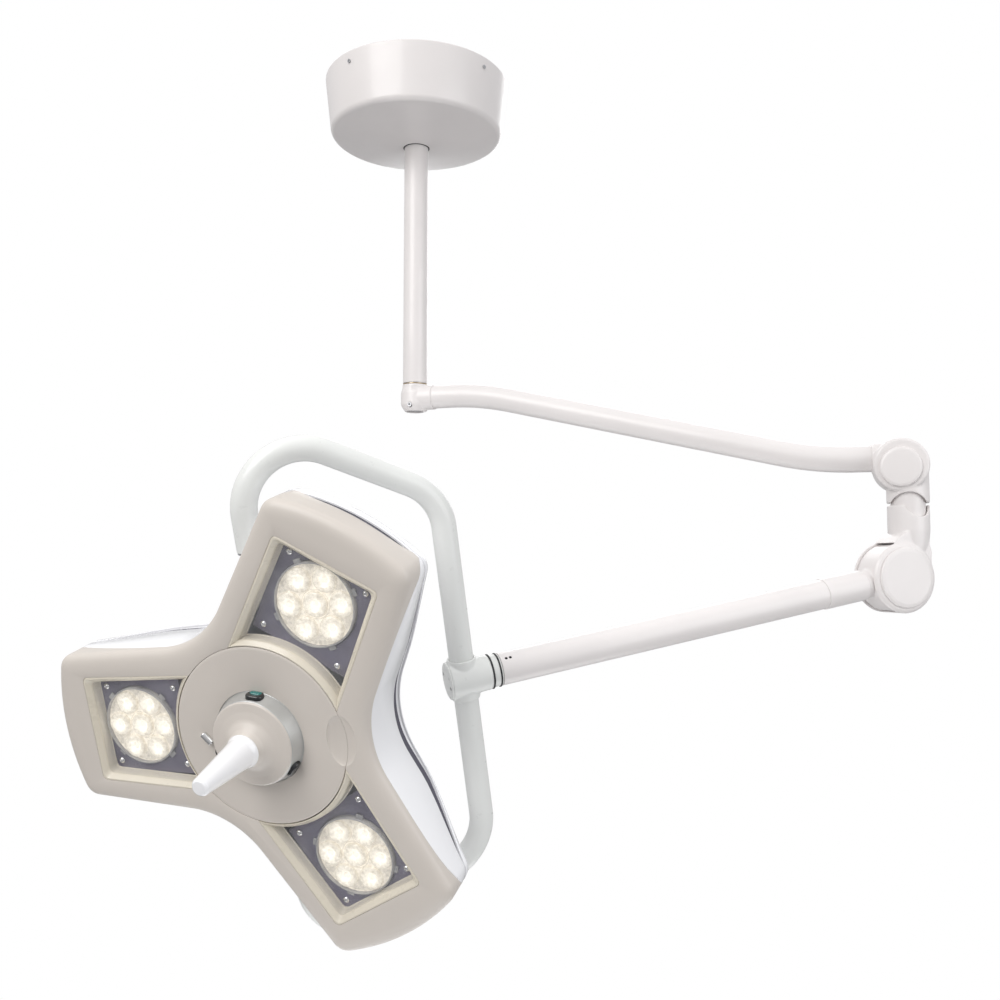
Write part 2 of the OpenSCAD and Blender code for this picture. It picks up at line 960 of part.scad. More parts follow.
module front_shell() {
    color(beige)
        head_frame() {
            difference() {
                for (s = shell_steps)
                    translate([0, 0, s[0]])
                        linear_extrude(s[1] - s[0])
                            difference() {
                                polygon(outline(s[2]));
                                if (s[0] < 44)
                                    polygon(outline(s[2] + wall_t + 2));
                            }
                translate([0, 0, 30])
                    linear_extrude(30) {
                        circle(r = plate_r + 0.6, $fn = 96);
                        for (k = [1 : 3])
                            on_lobe(k)
                                window_shape(6.3);
                    }
            }
            difference() {
                translate([0, 0, -wall_back - 3])
                    linear_extrude(36 + wall_back + 3)
                        wall_shape(true);
                behind_walls(-wall_back - 3);
            }
        }
}

module side_bands() {
    color(bright_white)
        head_frame()
            difference() {
                translate([0, 0, -wall_back])
                    linear_extrude(35.7 + wall_back)
                        wall_shape(false, 0.3);
                behind_walls(-wall_back);
                pivot_holes();
            }
}

module centre_plate() {
    color(beige)
        head_frame()
            difference() {
                translate([0, 0, plate_z - 4])
                    rotate_extrude($fn = 96)
                        polygon([[0, 0], [plate_r, 0], [plate_r, 3], [plate_r - 1, 4], [62, 5.2], [0, 5.2]]);
                translate([0, 0, plate_z - 6])
                    cylinder(r = 40, h = 10);
                translate([lock_at[0], lock_at[1], plate_z - 6])
                    cylinder(r = 4.2, h = 10);
            }
        head_frame()
            for (a = [60 : 120 : 300])
                rotate([0, 0, a])
                    translate([112, 0, -wall_back - 19.5])
                        cylinder(r = 6, h = plate_z + wall_back + 15.6);
}

module window_frames() {
    color([0.88, 0.83, 0.72])
        head_frame()
            for (k = [1 : 3])
                on_lobe(k)
                    translate([0, 0, 37])
                        linear_extrude(8.5)
                            difference() {
                                window_shape(6);
                                window_shape(0);
                                circle(r = plate_r + 1.5, $fn = 96);
                            }
}

module window(k) {
    color([0.9, 0.92, 0.95, 0.3])
        head_frame()
            on_lobe(k)
                translate([0, 0, 40])
                    linear_extrude(2)
                        window_shape(-0.3);
}

module window_1() {
    window(1);
}

module window_2() {
    window(2);
}

module window_3() {
    window(3);
}

// A lamp module: a dark deck with a round pocket, corner screws and cooling fins behind it
module led_module(k) {
    color([0.25, 0.24, 0.3])
        head_frame()
            on_lobe(k) {
                difference() {
                    translate([124, -68, module_z])
                        cube([128, 136, deck_h]);
                    translate([pod_r, 0, module_z + 4])
                        cylinder(r = optic_r + 0.6, h = deck_h);
                }
                for (i = [0 : 9])
                    translate([138, -58.5 + 13 * i, module_z - 30])
                        cube([100, 2.5, 30 + eps]);
                for (x = [134, 240])
                    for (y = [-54, 54])
                        translate([x, y, module_z + deck_h - eps])
                            cylinder(d = 7, h = 2.5);
            }
}

module led_module_1() {
    led_module(1);
}

module led_module_2() {
    led_module(2);
}

module led_module_3() {
    led_module(3);
}

// A round optic with one central and six outer lens cells
module optic(k) {
    cell_r = 16;
    color([1, 0.96, 0.86])
        head_frame()
            on_lobe(k)
                translate([pod_r, 0, module_z + 4]) {
                    cylinder(r = optic_r - 2, h = 10);
                    pipe(12, 2 * optic_r, 2 * optic_r - 4.4);
                    for (i = [0 : 6])
                        rotate([0, 0, 60 * i])
                            translate([i == 6 ? 0 : 36, 0, 10 - eps])
                                cylinder(r1 = cell_r, r2 = cell_r - 2.5, h = 4);
                }
}

module optic_1() {
    optic(1);
}

module optic_2() {
    optic(2);
}

module optic_3() {
    optic(3);
}

module driver_board() {
    color([0.1, 0.35, 0.2])
        head_frame() {
            difference() {
                translate([-50, -40, -20])
                    cube([100, 80, 1.6]);
                for (x = [-44, 44])
                    for (y = [-34, 34])
                        translate([x, y, -21])
                            cylinder(d = 4, h = 4);
            }
            translate([-36, -26, -18.5])
                cube([28, 22, 14]);
            translate([10, -20, -18.5])
                cube([18, 18, 8]);
            translate([-20, 18, -18.5])
                cylinder(d = 12, h = 16);
        }
}

module pivot_blocks() {
    color(steel)
        head_frame()
            for (side = [-1, 1])
                translate([0, side * 175, 0])
                    difference() {
                        union() {
                            rotate([90, 0, 0])
                                translate([0, 0, -11])
                                    cylinder(r = 15, h = 22);
                            translate([-12, -11, -wall_back - 10])
                                cube([24, 22, wall_back + 10]);
                        }
                        rotate([90, 0, 0])
                            translate([0, 0, -30])
                                cylinder(r = trunnion_r + run_fit, h = 60);
                    }
}

// Outline of a button seen from the side of the mount
module stadium(w, h, depth) {
    rotate([0, 90, 0])
        for (side = [-1, 1])
            translate([0, side * (w - h) / 2, 0])
                cylinder(d = h, h = depth);
    translate([0, -(w - h) / 2, -h / 2])
        cube([depth, w - h, h]);
}

button_angles = [-98, 22, 142];
mount_z = plate_z + 1.6;
button_z = mount_z + 12;

module handle_mount() {
    color(beige)
        head_frame()
            difference() {
                union() {
                    translate([0, 0, mount_z])
                        rotate_extrude($fn = 96)
                            polygon([
                                [30, 0], [64, 0], [64, 1.5], [61, 2.5], [56.5, 22.5], [54.5, 24.5],
                                [28, 24.5], [18, 40], [16, 41.5], [8, 41.5], [8, 37], [14, 36],
                                [24, 21], [52, 20.5], [52, 4], [30, 4]]);
                    translate([0, 0, mount_z + 36])
                        pipe(24, 16, 8);
                }
                for (a = button_angles)
                    rotate([0, 0, a])
                        translate([48, 0, button_z])
                            stadium(24.6, 16.6, 20);
            }
}

module mount_button(i) {
    color([0.08, 0.09, 0.1])
        head_frame()
            rotate([0, 0, button_angles[i]])
                translate([49, 0, button_z])
                    stadium(24, 16, 12);
}

module power_button() {
    mount_button(0);
}

module brighter_button() {
    mount_button(1);
}

module dimmer_button() {
    mount_button(2);
}

module plate_lock() {
    color(steel)
        head_frame()
            translate([lock_at[0], lock_at[1], plate_z - 10])
                rotate([0, 0, lock_turn]) {
                    cylinder(r = 4, h = 18);
                    translate([-11, 0, 18.4])
                        rotate([0, 90, 0])
                            cylinder(r = 5, h = 22);
                }
}

module grip() {
    z0 = mount_z + 42;
    root = grip_root_d / 2;
    tip = grip_tip_d / 2;
    color(bright_white)
        head_frame()
            translate([0, 0, z0])
                rotate_extrude()
                    polygon(concat(
                        [[8 + run_fit, 0], [root + 2, 0], [root + 3, 2], [root + 2, 5], [root, 8]],
                        arc(tip - 5, grip_len - 5, 5, 0, 90, 5),
                        [[0, grip_len], [0, 20], [8 + run_fit, 20]]));
}

ceiling_plate();
mounting_flange();
flange_bolts();
tube_cross_bolt();
canopy();
canopy_screws();
canopy_grommet();
power_supply();
terminal_block();
down_tube();
swivel_spindle();
radial_hub();
hub_bushes();
hub_thrust_washer();
hub_brake_screw();
radial_tube();
upper_elbow();
upper_elbow_caps();
neck_spindle();
lower_elbow();
lower_elbow_caps();
elbow_bushes();
lift_pin();
arm_root();
spring_arm_tube();
arm_sleeve();
balance_spring();
spring_rod();
spring_adjuster();
roll_spindle();
arm_set_screws();
yoke_hub();
hub_cap();
hub_cap_screws();
seal_rings();
yoke_tube_upper();
yoke_tube_lower();
trunnions();
rear_cover();
front_shell();
side_bands();
centre_plate();
window_frames();
window_1();
window_2();
window_3();
led_module_1();
led_module_2();
led_module_3();
optic_1();
optic_2();
optic_3();
driver_board();
pivot_blocks();
handle_mount();
plate_lock();
power_button();
brighter_button();
dimmer_button();
grip();
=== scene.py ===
"""Ceiling-hung dental operating light: the finished look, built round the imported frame.

Shapes are worked out in millimetres in a few local frames, which come from the joints,
and every mesh is written in the row frame in metres.
"""

import json
import math

import bmesh
import bpy
from mathutils import Matrix, Vector


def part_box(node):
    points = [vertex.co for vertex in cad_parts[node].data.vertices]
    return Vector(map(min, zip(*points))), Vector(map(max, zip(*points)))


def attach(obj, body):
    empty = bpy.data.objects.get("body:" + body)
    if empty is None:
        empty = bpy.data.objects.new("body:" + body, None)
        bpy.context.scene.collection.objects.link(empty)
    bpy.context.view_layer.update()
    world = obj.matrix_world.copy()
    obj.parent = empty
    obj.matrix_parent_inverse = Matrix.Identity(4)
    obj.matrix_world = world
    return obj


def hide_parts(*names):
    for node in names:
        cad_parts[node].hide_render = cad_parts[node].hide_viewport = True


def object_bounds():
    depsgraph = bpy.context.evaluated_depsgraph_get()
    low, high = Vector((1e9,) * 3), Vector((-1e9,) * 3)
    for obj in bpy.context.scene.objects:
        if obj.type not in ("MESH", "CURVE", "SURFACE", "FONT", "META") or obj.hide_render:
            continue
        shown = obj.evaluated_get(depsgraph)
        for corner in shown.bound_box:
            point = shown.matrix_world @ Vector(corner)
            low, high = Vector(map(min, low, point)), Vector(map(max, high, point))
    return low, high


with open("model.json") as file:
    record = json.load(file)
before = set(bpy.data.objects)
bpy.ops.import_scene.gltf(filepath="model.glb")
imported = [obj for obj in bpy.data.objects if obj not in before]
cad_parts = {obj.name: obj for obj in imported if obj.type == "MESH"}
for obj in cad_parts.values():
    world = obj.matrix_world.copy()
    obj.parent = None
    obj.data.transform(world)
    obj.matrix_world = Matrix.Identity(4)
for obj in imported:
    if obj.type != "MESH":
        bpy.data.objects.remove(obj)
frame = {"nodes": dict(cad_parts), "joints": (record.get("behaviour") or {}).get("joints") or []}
cad_low, cad_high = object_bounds()

MM = 0.001
SMOOTH_ANGLE = 32
AXIS_X, AXIS_Y, AXIS_Z = Vector((1, 0, 0)), Vector((0, 1, 0)), Vector((0, 0, 1))
joints = {j["name"]: j for j in frame["joints"]}


# ---- local frames

def axes(origin, x, y, z):
    """Matrix from a local frame in millimetres to the row frame in metres."""
    m = Matrix((x, y, z)).transposed().to_4x4()
    return Matrix.Translation(origin) @ m @ Matrix.Scale(MM, 4)


def joint_place(name):
    return Vector(joints[name]["pos_m"])


def joint_axis(name):
    return Vector(joints[name]["axis"]).normalized()


elbow_at = joint_place("elbow_swing")
lift_at = joint_place("spring_arm_lift")
yoke_at = joint_place("yoke_roll")
head_at = joint_place("head_tilt")

along = Vector((elbow_at.x, elbow_at.y, 0)).normalized()
ARM = axes(Vector((0, 0, 0)), along, AXIS_Z.cross(along), AXIS_Z)

offset = Vector((lift_at.x - elbow_at.x, lift_at.y - elbow_at.y, 0))
ELBOW = axes(Vector((elbow_at.x, elbow_at.y, 0)), offset.normalized(),
             AXIS_Z.cross(offset.normalized()), AXIS_Z)

arm_dir = (yoke_at - lift_at).normalized()
lift_axis = joint_axis("spring_arm_lift")
SPRING = axes(lift_at, arm_dir, lift_axis, arm_dir.cross(lift_axis))

head_y = joint_axis("head_tilt")
head_z = joint_axis("grip_twist")
HEAD = axes(head_at, head_y.cross(head_z), head_y, head_z)
YOKE = axes(yoke_at, arm_dir, (-head_y).cross(arm_dir), -head_y)
ROW = axes(Vector((0, 0, 0)), AXIS_X, AXIS_Y, AXIS_Z)

reach = Vector((elbow_at.x, elbow_at.y)).length / MM
lift_offset = offset.length / MM
lift_drop = -lift_at.z / MM
spring_len = (yoke_at - lift_at).length / MM
yoke_depth = (head_at - yoke_at).dot(arm_dir) / MM


def turn(degrees, axis="Z"):
    return Matrix.Rotation(math.radians(degrees), 4, axis)


def shift(x, y, z):
    return Matrix.Translation((x, y, z))


# Turns that lay a rod's or lathe's own axis along the frame's X or Y axis
ON_X = turn(90, "Y")
ON_Y = turn(90, "X")


def lobe_turn(k):
    """Head frame turned so that +X points along lobe k (1, 2 or 3)."""
    return HEAD @ turn(120 * (k - 1))


# ---- materials

def new_material(name):
    m = bpy.data.materials.new(name)
    m.use_nodes = True
    nodes = m.node_tree.nodes
    nodes.clear()
    out = nodes.new("ShaderNodeOutputMaterial")
    shader = nodes.new("ShaderNodeBsdfPrincipled")
    m.node_tree.links.new(shader.outputs["BSDF"], out.inputs["Surface"])
    return m, nodes, m.node_tree.links, shader


def set_inputs(node, values):
    for name, value in values.items():
        node.inputs[name].default_value = value


def noise(nodes, links, scale, detail=3.0, roughness=0.5):
    """A noise pattern on object coordinates."""
    where = nodes.new("ShaderNodeTexCoord")
    pattern = nodes.new("ShaderNodeTexNoise")
    set_inputs(pattern, {"Scale": scale, "Detail": detail, "Roughness": roughness})
    links.new(where.outputs["Object"], pattern.inputs["Vector"])
    return pattern


def ramp(nodes, links, source, low, high, start=0.3, end=0.7):
    """Colour ramp from low to high colours (or greys) over the source value."""
    r = nodes.new("ShaderNodeValToRGB")
    r.color_ramp.elements[0].position = start
    r.color_ramp.elements[1].position = end
    r.color_ramp.elements[0].color = (*low, 1)
    r.color_ramp.elements[1].color = (*high, 1)
    links.new(source, r.inputs["Fac"])
    return r


def add_bump(nodes, links, source, shader, strength, distance):
    """Roughens the shader's normal by the source; distance is the relief in metres."""
    b = nodes.new("ShaderNodeBump")
    set_inputs(b, {"Strength": strength, "Distance": distance})
    links.new(source, b.inputs["Height"])
    links.new(b.outputs["Normal"], shader.inputs["Normal"])


def scaled(colour, k):
    return tuple(min(c * k, 1.0) for c in colour)


def finish(name, colour, rough, grain, grain_depth, spread=0.05, coat=0.0, metallic=0.0,
           cloud=9.0, rough_spread=0.06):
    """Painted, moulded or plain metal surface: tone drift, fine surface grain and
    uneven gloss, each from its own noise. cloud and grain are noise scales per metre."""
    m, nodes, links, shader = new_material(name)
    tone = noise(nodes, links, cloud, 4.0)
    shade = ramp(nodes, links, tone.outputs["Fac"], scaled(colour, 1 - spread),
                 scaled(colour, 1 + spread * 0.4))
    links.new(shade.outputs["Color"], shader.inputs["Base Color"])
    wear = noise(nodes, links, cloud * 6, 6.0, 0.6)
    gloss = ramp(nodes, links, wear.outputs["Fac"], (rough - rough_spread,) * 3,
                 (rough + rough_spread,) * 3)
    links.new(gloss.outputs["Color"], shader.inputs["Roughness"])
    skin = noise(nodes, links, grain, 2.0)
    add_bump(nodes, links, skin.outputs["Fac"], shader, 1.0, grain_depth)
    set_inputs(shader, {"Metallic": metallic, "Coat Weight": coat, "Coat Roughness": 0.12})
    return m


WARM_WHITE = finish("warm_white_coat", (0.80, 0.765, 0.755), 0.34, 700, 0.00001,
                    spread=0.03, coat=0.25)
COOL_WHITE = finish("cool_white_coat", (0.79, 0.80, 0.78), 0.32, 700, 0.00001,
                    spread=0.03, coat=0.25)
BEIGE = finish("beige_moulded", (0.635, 0.585, 0.535), 0.42, 1500, 0.00002,
               spread=0.025, coat=0.1)
WHITE_GLOSS = finish("white_gloss_moulded", (0.92, 0.92, 0.94), 0.2, 900, 0.00001,
                     spread=0.015, coat=0.6, rough_spread=0.03)
CREAM = finish("cream_bezel", (0.72, 0.665, 0.56), 0.3, 1200, 0.00002,
               spread=0.05, coat=0.3)
SILVER = finish("satin_silver", (0.56, 0.565, 0.555), 0.33, 1600, 0.000015,
                spread=0.05, metallic=0.55, coat=0.2)
CHROME = finish("bright_chrome", (0.80, 0.80, 0.80), 0.14, 1300, 0.00001,
                spread=0.03, metallic=1.0, rough_spread=0.04)
STEEL = finish("zinc_plated_steel", (0.56, 0.565, 0.58), 0.36, 420, 0.00004,
               spread=0.16, metallic=0.9, cloud=38, rough_spread=0.12)
BRONZE = finish("oiled_bronze", (0.52, 0.37, 0.18), 0.38, 500, 0.00003,
                spread=0.15, metallic=0.9, cloud=40)
RUBBER = finish("black_rubber_seal", (0.022, 0.022, 0.025), 0.6, 1500, 0.00005,
                spread=0.2, cloud=30)
BLACK_STEEL = finish("black_oxide_steel", (0.045, 0.045, 0.05), 0.4, 900, 0.00003,
                     spread=0.25, metallic=0.5, cloud=60)
BUTTON = finish("black_button_cap", (0.013, 0.014, 0.016), 0.24, 1200, 0.00002,
                spread=0.2, coat=0.5, cloud=60)
TEAL = finish("teal_button_lens", (0.01, 0.17, 0.16), 0.2, 1100, 0.00002,
              spread=0.2, coat=0.6, cloud=60)
# Dark purple-grey paint that stands in for the shade in the head's slits and behind the notch
# crescents: painted shade.
SHADE_LINER_PAINT = finish("painted_shade_liner", (0.10, 0.095, 0.125), 0.5, 900, 0.00004,
                   spread=0.12, cloud=20)
MODULE = finish("anodised_module_plate", (0.18, 0.165, 0.235), 0.36, 1100,
                0.00003, spread=0.28, metallic=0.45, cloud=24, rough_spread=0.1)
CASE = finish("power_supply_case", (0.50, 0.51, 0.53), 0.42, 500, 0.00004,
              spread=0.1, metallic=0.8, cloud=26)
TERMINAL = finish("terminal_plastic", (0.78, 0.77, 0.72), 0.45, 1300, 0.00002,
                  spread=0.06, cloud=40)


def board_material():
    """Green solder mask with a lighter copper web under it."""
    m, nodes, links, shader = new_material("driver_board_mask")
    where = nodes.new("ShaderNodeTexCoord")
    cells = nodes.new("ShaderNodeTexVoronoi")
    cells.feature = "DISTANCE_TO_EDGE"
    cells.inputs["Scale"].default_value = 160
    links.new(where.outputs["Object"], cells.inputs["Vector"])
    web = ramp(nodes, links, cells.outputs["Distance"], (0.05, 0.26, 0.13),
               (0.015, 0.13, 0.06), 0.02, 0.08)
    links.new(web.outputs["Color"], shader.inputs["Base Color"])
    add_bump(nodes, links, cells.outputs["Distance"], shader, 0.6, 0.00003)
    shader.inputs["Roughness"].default_value = 0.35
    return m


def window_material():
    """Clear polycarbonate, thin enough to be seen through without bending the view."""
    m, nodes, links, shader = new_material("clear_window_sheet")
    haze = noise(nodes, links, 30, 3.0)
    tint = ramp(nodes, links, haze.outputs["Fac"], (0.80, 0.82, 0.86), (0.90, 0.90, 0.92))
    links.new(tint.outputs["Color"], shader.inputs["Base Color"])
    veil = ramp(nodes, links, haze.outputs["Fac"], (0.05,) * 3, (0.09,) * 3)
    links.new(veil.outputs["Color"], shader.inputs["Alpha"])
    set_inputs(shader, {"Roughness": 0.04, "Coat Weight": 0.5})
    return m


def glow_material(name, dim, bright, strength, core=1.0):
    """Lit lens plastic. The mesh's glow attribute runs from 0 at a rim to 1 at a core."""
    m, nodes, links, shader = new_material(name)
    attribute = nodes.new("ShaderNodeAttribute")
    attribute.attribute_name = "glow"
    facets = noise(nodes, links, 230, 2.0)
    mixed = nodes.new("ShaderNodeMath")
    mixed.operation = "MULTIPLY_ADD"
    mixed.inputs[1].default_value = 0.75
    links.new(facets.outputs["Fac"], mixed.inputs[0])
    links.new(attribute.outputs["Fac"], mixed.inputs[2])
    light = ramp(nodes, links, mixed.outputs["Value"], dim, bright, 0.3, 0.3 + core)
    links.new(light.outputs["Color"], shader.inputs["Emission Color"])
    links.new(light.outputs["Color"], shader.inputs["Base Color"])
    set_inputs(shader, {"Emission Strength": strength, "Roughness": 0.12, "Coat Weight": 0.6})
    return m


LENS = glow_material("lit_lens_cells", (0.50, 0.455, 0.375), (1.0, 0.955, 0.85), 0.66, 0.75)
LENS_BED = glow_material("lit_lens_bed", (0.44, 0.405, 0.345), (0.92, 0.86, 0.75), 0.6, 0.7)


def ring_material():
    """Clear moulded rim round each optic, grey where it is thick."""
    m, nodes, links, shader = new_material("clear_optic_rim")
    haze = noise(nodes, links, 55, 3.0)
    tint = ramp(nodes, links, haze.outputs["Fac"], (0.34, 0.34, 0.36), (0.60, 0.59, 0.57))
    links.new(tint.outputs["Color"], shader.inputs["Base Color"])
    set_inputs(shader, {"Roughness": 0.1, "Coat Weight": 1.0, "Alpha": 0.75})
    return m


BOARD = board_material()
WINDOW = window_material()
RIM = ring_material()

# The record's material that each finish stands for
SLOT_OF = {m.name: slot for slot, finishes in {
    "warm_white_paint": (WARM_WHITE,), "cool_white_paint": (COOL_WHITE,),
    "beige_shell": (BEIGE, SILVER), "white_shell": (WHITE_GLOSS,), "cream_frame": (CREAM,),
    "black_rubber": (RUBBER, SHADE_LINER_PAINT), "black_button": (BUTTON, TEAL),
    "zinc_steel": (CHROME,), "module_plate": (MODULE,), "clear_window": (WINDOW,),
    "lit_optic": (LENS, LENS_BED, RIM),
}.items() for m in finishes}


# ---- mesh helpers

def new_object(name, data):
    o = bpy.data.objects.new(name, data)
    bpy.context.scene.collection.objects.link(o)
    return o


def new_mesh(name, bm):
    mesh = bpy.data.meshes.new(name)
    bm.to_mesh(mesh)
    bm.free()
    return mesh


def add_piece(name, mesh, body, material, nodes=(), sharp=SMOOTH_ANGLE, slot=None):
    """Links the mesh as a piece that rides on a body and stands for its CAD nodes."""
    slot = slot or SLOT_OF[material.name]
    o = new_object(name, mesh)
    mesh.materials.clear()
    mesh.materials.append(material)
    mesh.shade_smooth()
    mesh.set_sharp_from_angle(angle=math.radians(sharp))
    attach(o, body)
    if nodes:
        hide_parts(*nodes)


def make_mesh(name, points, faces, place):
    mesh = bpy.data.meshes.new(name)
    mesh.from_pydata([place @ Vector(p) for p in points], [], faces)
    bm = bmesh.new()
    bm.from_mesh(mesh)
    bmesh.ops.remove_doubles(bm, verts=bm.verts, dist=1e-6)
    bmesh.ops.dissolve_degenerate(bm, edges=bm.edges, dist=1e-6)
    bmesh.ops.recalc_face_normals(bm, faces=bm.faces)
    bm.to_mesh(mesh)
    bm.free()
    return mesh


def ring_faces(rows, n, closed=False):
    """Faces between rows of n points each, and back to the first row if closed."""
    faces = []
    for k in range(rows if closed else rows - 1):
        m = (k + 1) % rows
        faces += [(k * n + i, k * n + (i + 1) % n, m * n + (i + 1) % n, m * n + i)
                  for i in range(n)]
    return faces


def joined(name, meshes):
    bm = bmesh.new()
    for m in meshes:
        bm.from_mesh(m)
    return new_mesh(name, bm)


END_SHARE, MID_SHARE = 0.98, 0.62


def rounded_path(points, radii, steps=8):
    """The points as a path whose inner corners are arcs of the given radii, each made
    smaller where its straights are too short: a corner takes up to END_SHARE of the first
    or last straight and MID_SHARE of one between two corners."""
    pts = [Vector(p) for p in points]
    out = [pts[0]]
    for i in range(1, len(pts) - 1):
        r = radii[i - 1]
        a, b = (pts[i - 1] - pts[i]), (pts[i + 1] - pts[i])
        la, lb = a.length, b.length
        a, b = a.normalized(), b.normalized()
        half = a.angle(b, math.pi) / 2
        if r <= 0 or half > math.pi / 2 - 1e-3:
            out.append(pts[i])
            continue
        before = END_SHARE if i == 1 else MID_SHARE
        after = END_SHARE if i == len(pts) - 2 else MID_SHARE
        t = min(r / math.tan(half), la * before, lb * after)
        r = t * math.tan(half)
        centre = pts[i] + (a + b).normalized() * (r / math.sin(half))
        u, v = pts[i] + a * t - centre, pts[i] + b * t - centre
        sweep = u.angle(v)
        for k in range(steps + 1):
            f = k / steps
            out.append(centre + (u * math.sin((1 - f) * sweep) + v * math.sin(f * sweep))
                       / math.sin(sweep))
    out.append(pts[-1])
    return out


def lathe(name, profile, place, radius=(), steps=96, arc_steps=5):
    """Turns a profile of (radius, height) points about the frame's Z axis. Its inner
    corners take the given radii, and a profile clear of the axis is closed."""
    path = [Vector((p[0], 0, p[1])) for p in profile]
    if radius:
        path = rounded_path(path, radius, arc_steps)
    n = len(path)
    points = [(p.x * math.cos(a), p.x * math.sin(a), p.z)
              for a in (2 * math.pi * i / steps for i in range(steps)) for p in path]
    faces = []
    rows = n if path[0].x > 1e-6 and path[-1].x > 1e-6 else n - 1
    for i in range(steps):
        j = (i + 1) % steps
        for k in range(rows):
            m = (k + 1) % n
            faces.append((i * n + k, j * n + k, j * n + m, i * n + m))
    return make_mesh(name, points, faces, place)


def tube(name, path, outer, inner, place, steps=48):
    """Hollow tube along a path of vectors, with its end faces."""
    tangents = [(b - a).normalized() for a, b in zip([path[0], *path], [*path[1:], path[-1]])]
    side = tangents[0].orthogonal().normalized()
    rings = []
    for p, t in zip(path, tangents):
        side = (side - t * side.dot(t)).normalized()
        rings.append((p, side, t.cross(side)))
    order = [(r, outer) for r in rings] + [(r, inner) for r in reversed(rings)]
    angles = [2 * math.pi * i / steps for i in range(steps)]
    points = [p + (s * math.cos(a) + u * math.sin(a)) * radius
              for (p, s, u), radius in order for a in angles]
    return make_mesh(name, points, ring_faces(len(order), steps, closed=True), place)


def box(name, low, high, place):
    x0, y0, z0 = low
    x1, y1, z1 = high
    points = [(x, y, z) for z in (z0, z1) for y in (y0, y1) for x in (x0, x1)]
    faces = [(0, 2, 3, 1), (4, 5, 7, 6), (0, 1, 5, 4), (2, 6, 7, 3), (0, 4, 6, 2),
             (1, 3, 7, 5)]
    return make_mesh(name, points, faces, place)


def rod(name, radius, z0, z1, place, steps=64, chamfer=0.0):
    if chamfer:
        profile = [(0, z0), (radius - chamfer, z0), (radius, z0 + chamfer),
                   (radius, z1 - chamfer), (radius - chamfer, z1), (0, z1)]
    else:
        profile = [(0, z0), (radius, z0), (radius, z1), (0, z1)]
    return lathe(name, profile, place, steps=steps)


def prism(name, outline, z0, z1, place):
    """The flat outline raised from z0 to z1."""
    n = len(outline)
    points = [(x, y, z0) for x, y in outline] + [(x, y, z1) for x, y in outline]
    faces = [tuple(range(n - 1, -1, -1)), tuple(range(n, 2 * n))]
    faces += [(i, (i + 1) % n, n + (i + 1) % n, n + i) for i in range(n)]
    return make_mesh(name, points, faces, place)


def evaluated(mesh, build):
    """The mesh after build(object) has added modifiers to a stand-in object."""
    o = new_object("work", mesh)
    extra = build(o) or []
    dg = bpy.context.evaluated_depsgraph_get()
    result = bpy.data.meshes.new_from_object(o.evaluated_get(dg))
    for e in [o, *extra]:
        bpy.data.objects.remove(e)
    return result


def carved(mesh, cutters):
    """The mesh with every cutter taken away from it."""
    def build(o):
        made = []
        for c in cutters:
            tool = new_object("tool", c)
            tool.hide_render = True
            mod = o.modifiers.new("cut", "BOOLEAN")
            mod.operation = "DIFFERENCE"
            mod.solver = "EXACT"
            mod.object = tool
            made.append(tool)
        return made
    return evaluated(mesh, build)


def cast(meshes, cutters, voxel=1.4, smooth=6):
    """One casting: the solids fused, cut out, and rounded where they meet."""
    def fuse(o):
        mod = o.modifiers.new("skin", "REMESH")
        mod.mode = "VOXEL"
        mod.voxel_size = voxel * MM

    def soften(o):
        fuse(o)
        mod = o.modifiers.new("soften", "SMOOTH")
        mod.factor = 0.5
        mod.iterations = smooth

    solid = evaluated(joined("cast", meshes), fuse)
    for cutter in cutters:
        solid = carved(solid, [cutter])
    return evaluated(solid, soften)


def bevelled(mesh, width, segments=2, angle=40):
    """The mesh with a rounded edge wherever it turns by more than the angle."""
    def build(o):
        mod = o.modifiers.new("edge", "BEVEL")
        mod.width = width * MM
        mod.segments = segments
        mod.limit_method = "ANGLE"
        mod.angle_limit = math.radians(angle)
        mod.harden_normals = False
    return evaluated(mesh, build)


# ---- ceiling canopy

canopy_low, canopy_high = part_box("canopy")
rim_r = canopy_high.x / MM
canopy_base = canopy_low.z / MM
CONE_H = 22
SHOULDER = canopy_base + CONE_H
low_r = rim_r - 11
SCREW_TURN, SCREW_Z = 5, -19
mouth_r = 25
skin = 2.5
outer = rounded_path([(rim_r - 1.6, 0, 0), (rim_r, 0, -1.8), (rim_r - 0.2, 0, -4),
                      (low_r, 0, SHOULDER), (mouth_r + 2, 0, canopy_base + 1),
                      (mouth_r, 0, canopy_base + 0.2), (mouth_r - 1, 0, canopy_base + 2)],
                     [1.4, 1.2, 11, 1.5, 0.8], 7)
inner = rounded_path([(mouth_r, 0, canopy_base + 3.5), (low_r - skin - 1, 0, SHOULDER + skin),
                      (rim_r - skin - 0.6, 0, -3), (rim_r - skin - 0.6, 0, 0)],
                     [9, 0.5], 6)
canopy = lathe("canopy_shell", [(p.x, p.z) for p in outer + inner], ROW, steps=160)
holes = [rod("hole", 2.2, 150, 180, ROW @ turn(a + SCREW_TURN) @ shift(0, 0, SCREW_Z)
             @ ON_X, steps=24) for a in (45, 135, 225, 315)]
add_piece("canopy_shell", carved(canopy, holes), "ceiling_mount", WARM_WHITE, ["canopy"])

down_r = 22.5
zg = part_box("canopy_grommet")[0].z / MM
grommet = lathe("ring", [(down_r + 0.25, zg), (24.8, zg), (24.8, zg + 5),
                         (28, zg + 5), (28, zg + 6.5), (down_r + 0.25, zg + 6.5)],
                ROW, radius=[0.8, 0.3, 0.5, 0.5], arc_steps=3)
add_piece("canopy_grommet_ring", grommet, "ceiling_mount", RUBBER, ["canopy_grommet"])

# ---- down tube, hub

